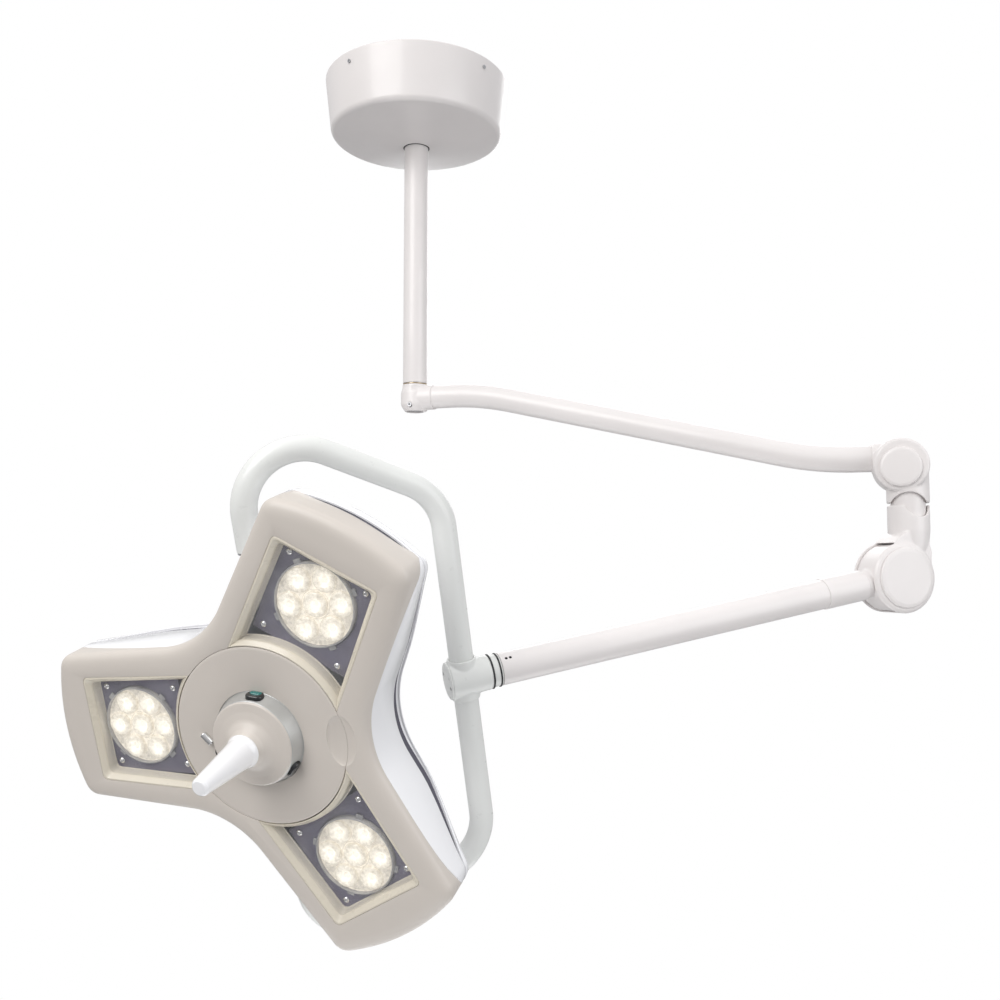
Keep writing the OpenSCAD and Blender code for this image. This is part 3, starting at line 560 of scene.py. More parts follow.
tube_low, tube_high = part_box("down_tube")
z0, z1 = tube_low.z / MM, tube_high.z / MM
bore_r = down_r - 3.5
drop = lathe("skin", [(bore_r, z0), (down_r, z0), (down_r, z1), (bore_r, z1)], ROW,
             radius=[0.8, 0.8], steps=72)
bolt_way = rod("way", 4.2, -40, 40, ROW @ shift(0, 0, -45) @ ON_X, steps=32)
add_piece("down_tube_skin", carved(drop, [bolt_way]), "ceiling_mount", WARM_WHITE, ["down_tube"])

hub_z = joint_place("radial_arm_swing").z / MM
arm_z = hub_z - 3
HUB_R = 26
hub_body = cast(
    [lathe("hub", [(0, hub_z - 29), (HUB_R - 8, hub_z - 29), (HUB_R, hub_z - 17),
                   (HUB_R, hub_z + 6), (HUB_R - 2.4, hub_z + 15), (HUB_R - 2.6, hub_z + 21.5),
                   (0, hub_z + 21.5)], ARM, radius=[4, 12, 12, 8, 0.5]),
     rod("socket", 22.9, 0, 40, ARM @ shift(0, 0, arm_z) @ ON_X, chamfer=1),
     rod("boss", 9.5, hub_z - 29, hub_z - 4, ARM @ shift(14, 0, 0), chamfer=1)],
    [rod("bore", 16, hub_z - 34, hub_z + 40, ARM),
     rod("arm", 21.3, 20, 60, ARM @ shift(0, 0, arm_z) @ ON_X),
     rod("screw", 4.3, 10, 40, ARM @ shift(0, 0, hub_z - 18) @ ON_Y, steps=32),
     box("window", (-7, -40, hub_z + 8.5), (6, -HUB_R + 3.2, hub_z + 17.5), ARM @ turn(22))],
    voxel=0.9, smooth=3)
add_piece("radial_hub_casting", hub_body, "radial_arm", WARM_WHITE, ["radial_hub"])

# ---- radial tube

ARM_R = 21.2
ARM_DROP = 142
VERTEX_1, VERTEX_2, ARM_BEND = 128, 715, 500
arm_path = rounded_path([(22, 0, arm_z), (VERTEX_1, 0, arm_z),
                         (VERTEX_2, 0, arm_z - ARM_DROP), (806, 0, arm_z - ARM_DROP)],
                        [ARM_BEND, ARM_BEND], 14)
add_piece("radial_arm_tube", tube("arm", arm_path, ARM_R, ARM_R - 3.5, ARM),
          "radial_arm", WARM_WHITE, ["radial_tube"])

# ---- upper knuckle

collar_z = arm_z - ARM_DROP
elbow_z = collar_z - 13
NECK_SPLIT = -818
NECK_R = 26
DRUM_HALF = 32.5
NECK = ARM @ shift(reach, 0, 0)
upper = cast(
    [rod("drum", 42, -DRUM_HALF, DRUM_HALF, ARM @ shift(reach - 10, 0, elbow_z) @ ON_Y,
         chamfer=3),
     rod("collar", 24.6, 797 - reach, 0, ARM @ shift(reach, 0, collar_z) @ ON_X,
         chamfer=1.2),
     rod("column", 32, NECK_SPLIT, elbow_z, NECK, chamfer=1.2)],
    [rod("socket", ARM_R + 0.1, 780, 813, ARM @ shift(0, 0, collar_z) @ ON_X),
     rod("neck", NECK_R + 0.3, NECK_SPLIT - 4, NECK_SPLIT + 38, NECK),
     rod("pin", 18.2, NECK_SPLIT, NECK_SPLIT + 50, NECK),
     rod("arch", 30, -60, 60, ARM @ shift(reach, 0, NECK_SPLIT - 13.5) @ ON_Y)],
    voxel=1.2, smooth=6)
add_piece("upper_knuckle_casting", upper, "radial_arm", WARM_WHITE, ["upper_elbow"])


def cap_pair(r, h, place, x, y, z):
    """Two pressed disc caps with soft edges and faint domes, facing out at y and -y."""
    profile = [(0, 0), (r, 0), (r, h * 0.75), (r * 0.86, h), (0, h + 0.9)]
    return joined("caps", [lathe("cap", profile, place @ shift(x, s * y, z) @ turn(-s * 90, "X"),
                                 radius=[0.6, 3.2, 9], arc_steps=8) for s in (-1, 1)])


add_piece("upper_knuckle_caps", cap_pair(31.5, 6, ARM, reach - 11, DRUM_HALF, elbow_z - 4),
          "radial_arm", WARM_WHITE, ["upper_elbow_caps"])

neck = lathe("neck_spindle_turned",
             [(0, -880), (15, -880), (15, -845), (NECK_R, -845), (NECK_R, -781), (18, -781),
              (18, -770), (0, -770)], NECK,
             radius=[1, 0.5, 1, 1, 0.5, 1])
add_piece("neck_spindle_turned", neck, "radial_arm", WARM_WHITE, ["neck_spindle"])

# ---- lower knuckle

DRUM_R, ROOT_R, CHEEK, SLOT = 55, 52, 29.5, 22.5
PIN = ELBOW @ shift(lift_offset, 0, -lift_drop) @ ON_Y
column_foot = -lift_drop + 50
COLUMN_R, COLUMN_TOP = 31.6, -821
lower = cast(
    [lathe("column", [(0, column_foot - 35), (21, column_foot - 35), (29, column_foot),
                      (COLUMN_R, column_foot + 24), (COLUMN_R, COLUMN_TOP), (0, COLUMN_TOP)],
           ELBOW, radius=[3, 20, 12, 1.2]),
     rod("drum", DRUM_R, -CHEEK, CHEEK, PIN, steps=96, chamfer=4),
     prism("web", [(-50, 0), (-52, 40), (-46, 62), (-10, 72), (6, 64), (16, 53), (24, 46),
                   (0, 0)], -CHEEK + 4, CHEEK - 4, PIN)],
    [rod("neck", NECK_R + 0.8, -846.5, -810, ELBOW),
     rod("bore", 19, -881, -830, ELBOW),
     rod("dip", 23.5, -61, 61, ELBOW @ shift(0, 0, -816.3) @ ON_Y @ turn(1.7)),
     rod("slot", ROOT_R + 0.5, -SLOT, SLOT, PIN, steps=96),
     box("mouth", (lift_offset + 3, -SLOT - 0.2, -lift_drop - 62),
         (lift_offset + 95, SLOT + 0.2, -lift_drop + 54), ELBOW),
     rod("pin", 12.4, -60, 60, PIN)],
    voxel=1.2, smooth=6)
add_piece("lower_knuckle_casting", lower, "elbow", WARM_WHITE, ["lower_elbow"])
add_piece("lower_knuckle_caps", cap_pair(47, 5, ELBOW, lift_offset, CHEEK, -lift_drop),
          "elbow", WARM_WHITE, ["lower_elbow_caps"])

# ---- spring arm

ALONG = SPRING @ ON_X
SPRING_R = 22.5
root = cast(
    [rod("drum", ROOT_R, -SLOT + 0.4, SLOT - 0.4, SPRING @ ON_Y, steps=96, chamfer=1.2),
     rod("stub", 22, 20, 62, ALONG),
     rod("plug", SPRING_R - 3.5, 55, 110, ALONG)],
    [rod("pin", 12.2, -60, 60, SPRING @ ON_Y)], voxel=1.3, smooth=3)
add_piece("arm_root_casting", root, "spring_arm", WARM_WHITE, ["arm_root"])
TUBE_END = -52
arm_end = spring_len + TUBE_END
SKIN_START, SKIN_RINGS = 64, 24
skin_path = [Vector((SKIN_START + (arm_end - SKIN_START) * i / SKIN_RINGS, 0, 0))
             for i in range(SKIN_RINGS + 1)]
arm_skin = tube("spring_arm_skin", skin_path, SPRING_R, SPRING_R - 3.4, SPRING)
set_holes = [rod("hole", 2.1, 10, 40, SPRING @ shift(spring_len - x, 0, 0) @ turn(-47, "X"),
                 steps=20) for x in (60, 66)]
add_piece("spring_arm_skin", carved(arm_skin, set_holes), "spring_arm", WARM_WHITE,
          ["spring_arm_tube"])
sleeve = lathe("sleeve", [(SPRING_R + 0.05, 62), (SPRING_R + 1.3, 62),
                          (SPRING_R + 1.3, 133), (SPRING_R + 0.05, 133)],
               ALONG, radius=[0.5, 0.7], steps=96, arc_steps=3)
add_piece("spring_arm_sleeve", sleeve, "spring_arm", WARM_WHITE, ["arm_sleeve"])

# ---- yoke

HUB_BACK, HUB_FRONT = -36, 23
YOKE_R = 17
ACROSS = YOKE @ ON_X
hub = lathe("hub", [(0, TUBE_END + 0.4), (22.4, TUBE_END + 0.4), (22.4, HUB_BACK),
                    (24, HUB_BACK), (26, HUB_FRONT - 6), (26, HUB_FRONT - 2),
                    (0, HUB_FRONT - 2)], ACROSS, radius=[0.5, 0.3, 1.5, 3, 0.6])
hub = cast([hub, rod("up", YOKE_R + 3, 12, 29, YOKE), rod("down", YOKE_R + 3, -29, -12, YOKE)],
           [rod("bore", 12.2, TUBE_END - 2, 19, ACROSS),
            rod("tube", YOKE_R + 0.1, 14, 54, YOKE), rod("tube", YOKE_R + 0.1, -54, -14, YOKE)],
           voxel=0.9, smooth=3)
add_piece("yoke_hub_casting", hub, "yoke", COOL_WHITE, ["yoke_hub"])
cap = lathe("yoke_hub_cap", [(0, 0), (25.6, 0), (25.6, 1.6), (23.8, 2.6), (0, 3.1)],
            ACROSS @ shift(0, 0, HUB_FRONT - 2), radius=[0.3, 0.8, 2])
recesses = [rod("recess", 3.1, -1, 12, ACROSS @ shift(*p, HUB_FRONT - 1.9),
                steps=28) for p in ((5, 17), (-5, -17))]
add_piece("yoke_hub_cap", carved(cap, recesses), "yoke", COOL_WHITE, ["hub_cap"])
seals = [lathe("seal", [(22.42, z), (r, z), (r, z + 2.4), (22.42, z + 2.4)], ACROSS,
               radius=[1.0, 1.0], steps=96, arc_steps=4)
         for r, z in ((24.3, HUB_BACK - 3), (23.6, TUBE_END + 2.4))]
add_piece("yoke_seal_rings", joined("seals", seals), "yoke", RUBBER, ["seal_rings"])

# Each half of the yoke: its half length, the slope of its leg, and its outer bend
BEND_R, PIVOT_OUT = 75, 226
for sign, part, half_len, rise, far_r in ((1, "upper", 257, 30, 74),
                                          (-1, "lower", 250, 25, 80)):
    corner = half_len + yoke_depth * math.tan(math.radians(rise))
    path = rounded_path([(0, 0, sign * 14), (0, 0, sign * half_len),
                         (yoke_depth, 0, sign * corner), (yoke_depth, 0, sign * (PIVOT_OUT + 4))],
                        [BEND_R, far_r], 22)
    add_piece(f"yoke_leg_{part}", tube("leg", path, YOKE_R - 0.25, YOKE_R - 3, YOKE), "yoke",
              COOL_WHITE, [f"yoke_tube_{part}"])

# ---- head outline

LOBE_R, NOTCH_R, SIDE_C, SIDE_TAPER, CORNER_R = 311.6, 150, 122, 4, 22
taper_sum = math.sin(math.radians(60 + SIDE_TAPER))
notch_fillet = (NOTCH_R * taper_sum - SIDE_C) / (1 - taper_sum)


def spun(p, degrees):
    c, s = math.cos(math.radians(degrees)), math.sin(math.radians(degrees))
    return (p[0] * c - p[1] * s, p[0] * s + p[1] * c)


def arc(cx, cy, r, start, end, steps):
    for i in range(steps + 1):
        a = math.radians(start + (end - start) * i / steps)
        yield (cx + r * math.cos(a), cy + r * math.sin(a))


END_STEPS, CORNER_STEPS, NOTCH_STEPS, SIDE_STEPS = 48, 10, 40, 9


def head_outline(inset):
    """Closed outline of the three-lobed head, pulled in by inset, with a matching point
    for each inset. Runs lobe end, corner, notch, corner, three times round."""
    small = max(CORNER_R - inset, 0.6)
    d = LOBE_R - inset - small
    corner_angle = math.degrees(math.asin((SIDE_C - inset - small) / d)) - SIDE_TAPER
    ca = math.radians(corner_angle)
    near = list(arc(d * math.cos(ca), d * math.sin(ca), small, corner_angle + 6,
                    90 - SIDE_TAPER, CORNER_STEPS))
    c = NOTCH_R + notch_fillet
    notch = list(arc(c * math.cos(math.radians(60)), c * math.sin(math.radians(60)),
                     notch_fillet + inset, 270 - SIDE_TAPER, 210 + SIDE_TAPER, NOTCH_STEPS))
    far = [spun((x, -y), 120) for x, y in reversed(near)]
    end = list(arc(0, 0, LOBE_R - inset, -corner_angle, corner_angle, END_STEPS))
    side_1, side_2 = ([tuple(a + (b - a) * t for a, b in zip(start, stop))
                       for t in (i / (SIDE_STEPS + 1) for i in range(1, SIDE_STEPS + 1))]
                      for start, stop in ((near[-1], notch[0]), (notch[-1], far[0])))
    third = end + near + side_1 + notch + side_2 + far
    return [spun(p, 120 * k) for k in range(3) for p in third]


PER_LOBE = len(head_outline(0)) // 3
NOTCH_FROM = END_STEPS + 1
NOTCH_POINTS = PER_LOBE - NOTCH_FROM


def running_share(points, first, count):
    """Arc length from the middle of a run of outline points: -1 at its start, 1 at end."""
    total = [0.0]
    for i in range(first, first + count - 1):
        a, b = Vector(points[i]), Vector(points[i + 1])
        total.append(total[-1] + (b - a).length)
    return [2 * t / total[-1] - 1 for t in total]


base_outline = head_outline(0)
notch_share = running_share(base_outline, NOTCH_FROM, NOTCH_POINTS)
end_share = running_share(base_outline, 0, NOTCH_FROM)
WALL_LOW, WALL_HIGH, END_SEAM, CORNER_SEAM = -33.5, 33.5, 7, -4
RISE_FROM, RISE_TO, REAR_LIFT = 200, 300, 26


def hump(share, reach, flat, lift):
    """1 in the middle of a run, falling to 0 at its reach; flat and lift set the shape."""
    return max(0.0, 1 - (abs(share) / reach) ** flat) ** lift


def share_at(i):
    """Whether outline point i lies on a lobe's end, and its share of that run."""
    i %= PER_LOBE
    return (True, end_share[i]) if i < NOTCH_FROM else (False, notch_share[i - NOTCH_FROM])


def rear_rise(x, y):
    """How far the rear edge rises towards the face where the lobes thin out."""
    s = min(max((math.hypot(x, y) - RISE_FROM) / (RISE_TO - RISE_FROM), 0), 1)
    return REAR_LIFT * (0.6 * s + 0.4 * s * s * (3 - 2 * s))


def wall_back(i):
    """Rear edge of the white wall at outline point i."""
    return WALL_LOW + rear_rise(*base_outline[i % len(base_outline)])


def seam_height(i):
    """Rear edge of the front shell at outline point i: high over the notch bands, down to
    the wall's own rear edge at the corners, a little up again over the lobe ends."""
    at_end, share = share_at(i)
    if at_end:
        return CORNER_SEAM + (END_SEAM - CORNER_SEAM) * hump(share, 0.9, 4, 0.8)
    low = wall_back(i) + 3.5
    flat, lift = (7, 0.6) if share < 0 else (3.2, 0.7)
    return low + (WALL_HIGH - low) * hump(share, 1.0, flat, lift)


FACE_Z = 48
RIM_LOW = 34.5
RIM_LEVELS = ((RIM_LOW, 0.0), (37.5, 0.3), (40, 1.2), (42.2, 2.8), (44.2, 5.2), (45.8, 8.4),
              (47, 12.4), (47.7, 17), (FACE_Z, 22))
WALL_T = 3.0


def front_shell_mesh():
    """Moulded front shell: crowned rim, face, wall with its curved rear edge, inside."""
    n = len(base_outline)
    rows = [[(x, y, z) for x, y in head_outline(inset)] for z, inset in reversed(RIM_LEVELS)]
    for inset, shares in ((0, (0.33, 0.66, 1.0)), (WALL_T, (1.0, 0.5, 0.0))):
        rows += [[(x, y, RIM_LOW + (seam_height(i) - RIM_LOW) * share)
                  for i, (x, y) in enumerate(head_outline(inset))] for share in shares]
    rows += [[(x, y, z) for x, y in head_outline(inset)]
             for z, inset in ((37, 4.6), (40, 9), (41.8, 18), (42, 26))]
    faces = ring_faces(len(rows), n)
    faces.append(tuple(range(n - 1, -1, -1)))
    faces.append(tuple((len(rows) - 1) * n + i for i in range(n)))
    return make_mesh("front_shell", sum(rows, []), faces, HEAD)


PLATE_R = 120
BEZEL = 7.5
WIN_OUT, WIN_HALF = 252, 66
WIN_FLARE = 8 / 170


def window_outline(extra, corner=7.0, inner_arc=24):
    """Window opening, grown by extra: three straight sides, which flare towards the
    centre, and one that follows the centre plate."""
    ri = max(PLATE_R + BEZEL - extra, PLATE_R + 1.2)
    y_out = WIN_HALF + extra
    y_in = y_out + WIN_FLARE * (WIN_OUT - 100)
    x_in = math.sqrt(ri * ri - y_in * y_in)
    outer_side = rounded_path([(x_in, -y_in, 0), (WIN_OUT + extra, -y_out, 0),
                               (WIN_OUT + extra, y_out, 0), (x_in, y_in, 0)],
                              [corner, corner], 6)
    start = math.degrees(math.atan2(y_in, x_in))
    inner_side = list(arc(0, 0, ri, start, -start, inner_arc))[1:-1]
    return [(p.x, p.y) for p in outer_side] + inner_side


def window_opening():
    """Opening in the shell round a bezel; its inner side runs into the plate's hole."""
    line = window_outline(BEZEL + 0.2)
    edge = [p for p in line if math.hypot(*p) > PLATE_R + 2]
    y = max(p[1] for p in line)
    return edge + [(PLATE_R - 40, y), (PLATE_R - 40, -y)]


def scaled_ball(rx, ry, rz, place):
    bm = bmesh.new()
    bmesh.ops.create_uvsphere(bm, u_segments=48, v_segments=24, radius=1.0)
    mesh = new_mesh("ball", bm)
    mesh.transform(place @ Matrix.Diagonal((rx, ry, rz, 1)))
    return mesh


shell = front_shell_mesh()
cutters = [rod("plate", PLATE_R + 0.35, 30, 60, HEAD, steps=192)]
cutters += [prism("window", window_opening(), 30, 60, lobe_turn(k)) for k in (1, 2, 3)]
shell = bevelled(carved(shell, cutters), 0.9, 2, 50)
# The shallow finger scoop lies half in the shell and half in the centre plate
scoop = scaled_ball(20, 34, 5.6, HEAD @ turn(180) @ shift(PLATE_R - 5, 0, FACE_Z + 1.2))
add_piece("front_shell_moulding", carved(shell, [scoop]), "lamp_head", BEIGE, ["front_shell"],
          sharp=38)

# ---- white bands and painted-shade liner

GAP = 0.9  # seam between the front shell and the white wall
# The slit and the crescent look dark because the liner behind them is painted dark: painted
# shade.
SLIT = 10  # depth of the dark slit over each lobe's end
CRESCENT = 16  # depth of the dark crescent behind each notch
COVER_GAP = 1.2


def wall_front(i):
    """Front edge of the white wall: follows the shell's seam, and drops away under it on
    the lobe ends to leave a slit."""
    at_end, share = share_at(i)
    slit = SLIT * hump(share, 0.88, 4, 0.8) if at_end else 0
    return max(seam_height(i) - GAP - slit, wall_back(i) + 2.4)


def cover_front(i):
    """Front edge of the rear cover, set back in the notches to leave a crescent where the dark
    liner shows as painted shade.
    """
    at_end, share = share_at(i)
    return wall_back(i) - COVER_GAP - (0 if at_end else CRESCENT * hump(share, 0.9, 2, 1))


def white_wall():
    """White wall between the front shell's seam and the rear cover, all the way round."""
    edge = ((0.0, WALL_T), (0.0, 0.9), (0.49, 0.3), (1.12, 0.0))
    profile = [(wall_front, -step, pull) for step, pull in edge]
    profile += [(wall_back, step, pull) for step, pull in reversed(edge)]
    points = [(x, y, level(i) + step) for level, step, pull in profile
              for i, (x, y) in enumerate(head_outline(0.2 + pull))]
    faces = ring_faces(len(profile), len(base_outline), closed=True)
    return make_mesh("white_wall", points, faces, HEAD)


pivot_cut = rod("pivot", 18.2, -300, 300, HEAD @ ON_Y, steps=64)
add_piece("white_side_wall", carved(white_wall(), [pivot_cut]), "lamp_head", WHITE_GLOSS,
          ["side_bands"])


def shade_liner_mesh():
    """Liner just inside the walls, painted dark as painted shade, which shows through the slits
    and crescents.
    """
    points = []
    for inset, rear in ((3.6, True), (3.6, False), (5.5, False), (5.5, True)):
        points += [(x, y, wall_back(i) - 13 if rear else WALL_HIGH)
                   for i, (x, y) in enumerate(head_outline(inset))]
    faces = ring_faces(4, len(base_outline), closed=True)
    return make_mesh("shell_liner_painted_shade", points, faces, HEAD)


# The liner's dark colour is painted shade for the slits and crescents.
add_piece("shell_liner_painted_shade", carved(shade_liner_mesh(), [pivot_cut]), "lamp_head", SHADE_LINER_PAINT)

# ---- rear cover

COVER_BACK = -54
EDGE_DROP = 18
# The lip's (drop, inset) from the front edge, then the side's (share of its height, inset)
COVER_LIP = ((0.0, 1.2), (0.3, 0.4), (1.2, 0.0))
COVER_SIDE = ((0.45, 0.9), (0.68, 3.2), (0.84, 7.2), (0.94, 12.5), (0.99, 19), (1.0, 26))
DOME_SHARES = (0.93, 0.84, 0.74, 0.62, 0.48, 0.30, 0.12)
INNER_EDGE = 9


def cover_back(x, y):
    """Height of the cover's back surface: flat at the middle, rising over the lobes."""
    return COVER_BACK + rear_rise(x, y)


def rear_cover_mesh():
    """Domed rear cover: lip, side and back outside, then the inner face back to the lip."""
    n = len(base_outline)
    front = [cover_front(i) for i in range(n)]
    edge = [wall_back(i) - EDGE_DROP for i in range(n)]
    rows = [[(x, y, front[i] - drop) for i, (x, y) in enumerate(head_outline(inset))]
            for drop, inset in COVER_LIP]
    rows += [[(x, y, front[i] - 1.2 + (edge[i] - front[i]) * share)
              for i, (x, y) in enumerate(head_outline(inset))] for share, inset in COVER_SIDE]
    for scale in DOME_SHARES:
        blend = min((1 - scale) / 0.3, 1)
        ring = []
        for i, (x, y) in enumerate(head_outline(COVER_SIDE[-1][1])):
            rim_z, middle = edge[i] - 1.2, cover_back(x * scale, y * scale) - 2
            ring.append((x * scale, y * scale, rim_z + (middle - rim_z) * blend))
        rows.append(ring)
    outside = len(rows)
    rows += [[(x * scale, y * scale, 3 + min(cover_back(x * scale, y * scale), edge[i] + 2))
              for i, (x, y) in enumerate(head_outline(INNER_EDGE + 18))]
             for scale in (0.2, 0.5, 0.8, 1.0)]
    rows.append([(x, y, wall_back(i) - 9) for i, (x, y) in enumerate(head_outline(INNER_EDGE))])
    rows.append([(x, y, front[i]) for i, (x, y) in enumerate(head_outline(3))])
    faces = ring_faces(outside, n)
    faces += [tuple(outside * n + i for i in f) for f in ring_faces(len(rows) - outside, n)]
    faces.append(tuple((outside - 1) * n + i for i in range(n)))
    faces.append(tuple(outside * n + i for i in range(n - 1, -1, -1)))
    last = (len(rows) - 1) * n
    faces += [(i, last + i, last + (i + 1) % n, (i + 1) % n) for i in range(n)]
    return make_mesh("rear_cover", sum(rows, []), faces, HEAD)


add_piece("rear_cover_moulding", rear_cover_mesh(), "lamp_head", WHITE_GLOSS, ["rear_cover"])

# ---- windows, modules, optics

BEZEL_LEVELS = ((37, BEZEL), (47.2, BEZEL), (48.0, BEZEL - 0.7), (48.1, BEZEL - 2.4),
                (46.4, BEZEL - 4), (44.6, 2.2), (43.6, 0.8), (42.4, 0), (36, -0.8),
                (29.5, -1.6), (29.0, -2.6), (28.2, -2.6), (28.2, 0.5), (35, 2.5))
for k in (1, 2, 3):
    place = lobe_turn(k)
    rows = [[(x, y, z) for x, y in window_outline(extra)] for z, extra in BEZEL_LEVELS]
    faces = ring_faces(len(rows), len(rows[0]), closed=True)
    add_piece(f"window_bezel_{k}", make_mesh("bezel", sum(rows, []), faces, place), "lamp_head",
              CREAM, ["window_frames"] if k == 1 else ())
    sheet = prism("sheet", window_outline(-0.3), 40, 42, place)
    add_piece(f"window_sheet_{k}", bevelled(sheet, 0.4, 2, 50), "lamp_head", WINDOW,
              [f"window_{k}"])

MODULE_Z, DECK_H = 14, 14
DECK_IN, DECK_OUT, DECK_HALF = 124, 252, 68
POD_R = 194
OPTIC_R = 55
CELL_PITCH = 36
CELL_REACH, BED_REACH = 15.5, 26  # how far the glow spreads round each lens centre
GLOW_PEAK = 0.6


def with_glow(mesh, place, centres, reach_mm):
    """Writes the glow attribute: GLOW_PEAK over a lens centre, 0 at reach_mm from it."""
    back = place.inverted()
    values = []
    for v in mesh.vertices:
        p = back @ v.co
        near = min(math.hypot(p.x - cx, p.y - cy) for cx, cy in centres)
        values.append(max(0.0, 1 - near / reach_mm) * GLOW_PEAK)
    layer = mesh.attributes.new("glow", "FLOAT", "POINT")
    layer.data.foreach_set("value", values)
    return mesh


for k in (1, 2, 3):
    place = lobe_turn(k)
    deck = box("deck", (DECK_IN, -DECK_HALF, MODULE_Z),
               (DECK_OUT, DECK_HALF, MODULE_Z + DECK_H), place)
    pocket = rod("pocket", OPTIC_R + 0.6, MODULE_Z + 4, 40, place @ shift(POD_R, 0, 0), steps=96)
    plate = bevelled(carved(deck, [pocket]), 1.2)
    fins = [box("fin", (138, -58.5 + 13 * i, MODULE_Z - 30), (238, -56 + 13 * i, MODULE_Z),
                place) for i in range(10)]
    add_piece(f"module_heat_sink_{k}", joined("sink", [plate, *fins]), "lamp_head", MODULE,
              [f"led_module_{k}"])
    screws = [lathe("screw", [(0, 0), (4.2, 0), (4.2, 1.4), (2.4, 2.8), (1.7, 2.8),
                              (1.7, 1.2), (0, 1.2)], place @ shift(x, y, MODULE_Z + DECK_H),
                    radius=[0.3, 1.0, 0.3, 0.2, 0.2], steps=32, arc_steps=3)
              for x in (134, 240) for y in (-54, 54)]
    add_piece(f"module_screws_{k}", joined("screws", screws), "lamp_head", CHROME)
    pod = place @ shift(POD_R, 0, MODULE_Z + 4)
    centres = [(0.0, 0.0)] + [(CELL_PITCH * math.cos(math.radians(60 * i)),
                               CELL_PITCH * math.sin(math.radians(60 * i)))
                              for i in range(6)]
    cells = [lathe("cell", [(0, 6.2), (3.4, 7.2), (5.6, 10.6), (9.8, 13.6), (13.5, 13.8),
                            (15.9, 12.4), (17.0, 8.6), (17.0, 7.5), (0, 5)],
                   pod @ shift(cx, cy, 0), radius=[1.2, 2.5, 3, 3, 2.4, 1, 0.3],
                   steps=40, arc_steps=4) for cx, cy in centres]
    cells = with_glow(joined("cells", cells), pod, centres, CELL_REACH)
    add_piece(f"lens_cells_{k}", cells, "lamp_head", LENS)
    disc = lathe("disc", [(0, 0), (OPTIC_R - 2.5, 0), (OPTIC_R - 2.5, 9.4), (38, 9.0),
                          (0, 9.0)], pod, radius=[0.3, 1.4, 0], steps=96)
    rings = [lathe("web", [(r - 0.7, 8.4), (r - 0.35, 10.4), (r + 0.35, 10.4),
                           (r + 0.7, 8.4)], pod, radius=[0.3, 0.3], steps=96, arc_steps=2)
             for r in (18.8, 52)]
    disc = with_glow(joined("disc", [disc, *rings]), pod, centres, BED_REACH)
    add_piece(f"lens_disc_{k}", disc, "lamp_head", LENS_BED, [f"optic_{k}"])
    rim = lathe("rim", [(OPTIC_R - 2.4, 0), (OPTIC_R, 0), (OPTIC_R, 12.6), (OPTIC_R - 0.8, 15),
                        (OPTIC_R - 2.4, 15)], pod,
                radius=[0.5, 0.5, 1, 0.7], steps=96, arc_steps=3)
    lugs = [box("lug", (OPTIC_R - 2, -5, 10.2), (OPTIC_R + 5, 5, 12.2), pod @ turn(a))
            for a in (45, 135, 225, 315)]
    rim = joined("rim", [rim, *(bevelled(lug, 0.8) for lug in lugs)])
    add_piece(f"optic_rim_{k}", rim, "lamp_head", RIM)

# ---- centre plate

PLATE_Z = 42
plate = lathe("plate", [(40, 38), (PLATE_R, 38), (PLATE_R, 47.7), (PLATE_R - 3, 48.4),
                        (62.5, 48.9), (62.5, 43.6), (40, 43.6)], HEAD,
              radius=[0.4, 1.2, 8, 0.4, 0.4], steps=192)
LOCK = HEAD @ shift(77, 4, 0) @ turn(132)
lock_way = rod("way", 4.3, 30, 60, LOCK, steps=32)
add_piece("centre_plate_moulding", carved(carved(plate, [lock_way]), [scoop]), "lamp_head",
          BEIGE, ["centre_plate"])

MOUNT_Z = PLATE_Z + 1.6
skirt = lathe("skirt", [(30, 0), (64, 0), (64, 3.6), (61.2, 4.8), (56.5, 22.5),
                        (55, 23.2), (52, 22.6), (52, 4), (30, 4)],
              HEAD @ shift(0, 0, MOUNT_Z), radius=[0.4, 0.8, 1.2, 1, 0.5, 0.4, 0.4, 0.4],
              steps=160, arc_steps=4)
BUTTON_ANGLES = (-98, 22, 142)
BUTTON_Z = MOUNT_Z + 12


def stadium(width, height, steps=12):
    half = (width - height) / 2
    right = [(half + height / 2 * math.cos(a), height / 2 * math.sin(a))
             for a in (math.radians(-90 + 180 * i / steps) for i in range(steps + 1))]
    return right + [(-x, -y) for x, y in right]


def button_frame(angle):
    """Frame whose Z axis points outward from the mount through a button."""
    return HEAD @ turn(angle) @ shift(0, 0, BUTTON_Z) @ ON_X @ turn(90)


pockets = [prism("pocket", stadium(24.6, 16.6), 48, 70, button_frame(a))
           for a in BUTTON_ANGLES]
add_piece("mount_skirt", carved(skirt, pockets), "lamp_head", SILVER, ["handle_mount"])
fairing = lathe("cone", [(52.2, 20.2), (56.3, 22.9), (54.2, 24.9), (44, 26.2),
                         (33, 28.8), (25, 35), (20.5, 41.5), (8.2, 41.5),
                         (8.2, 37), (13, 35), (24, 23.5), (48, 20.2)],
                HEAD @ shift(0, 0, MOUNT_Z),
                radius=[0.8, 1.6, 20, 16, 8, 1.6, 0.4, 0.4, 1, 4], steps=160, arc_steps=7)
spigot = rod("spigot", 8, 36, 60, HEAD @ shift(0, 0, MOUNT_Z), chamfer=0.6)
add_piece("mount_fairing", joined("fairing", [fairing, spigot]), "lamp_head", BEIGE)

for name, angle in zip(("power_button", "brighter_button", "dimmer_button"), BUTTON_ANGLES):
    place = button_frame(angle)
    cap = bevelled(prism("cap", stadium(24, 16), 49, 62.6, place), 2.6, 4, 40)
    dish = scaled_ball(8.5, 5.4, 1.2, place @ shift(0, 0, 62.9))
    add_piece(f"{name}_cap", carved(cap, [dish]), name, BUTTON, [name])
    if name == "power_button":
        lens = bevelled(prism("lens", stadium(17, 8.4), 58, 63.4, place @ shift(0, -3, 0)),
                        2.2, 4, 40)
        add_piece("power_button_lens", lens, name, TEAL)

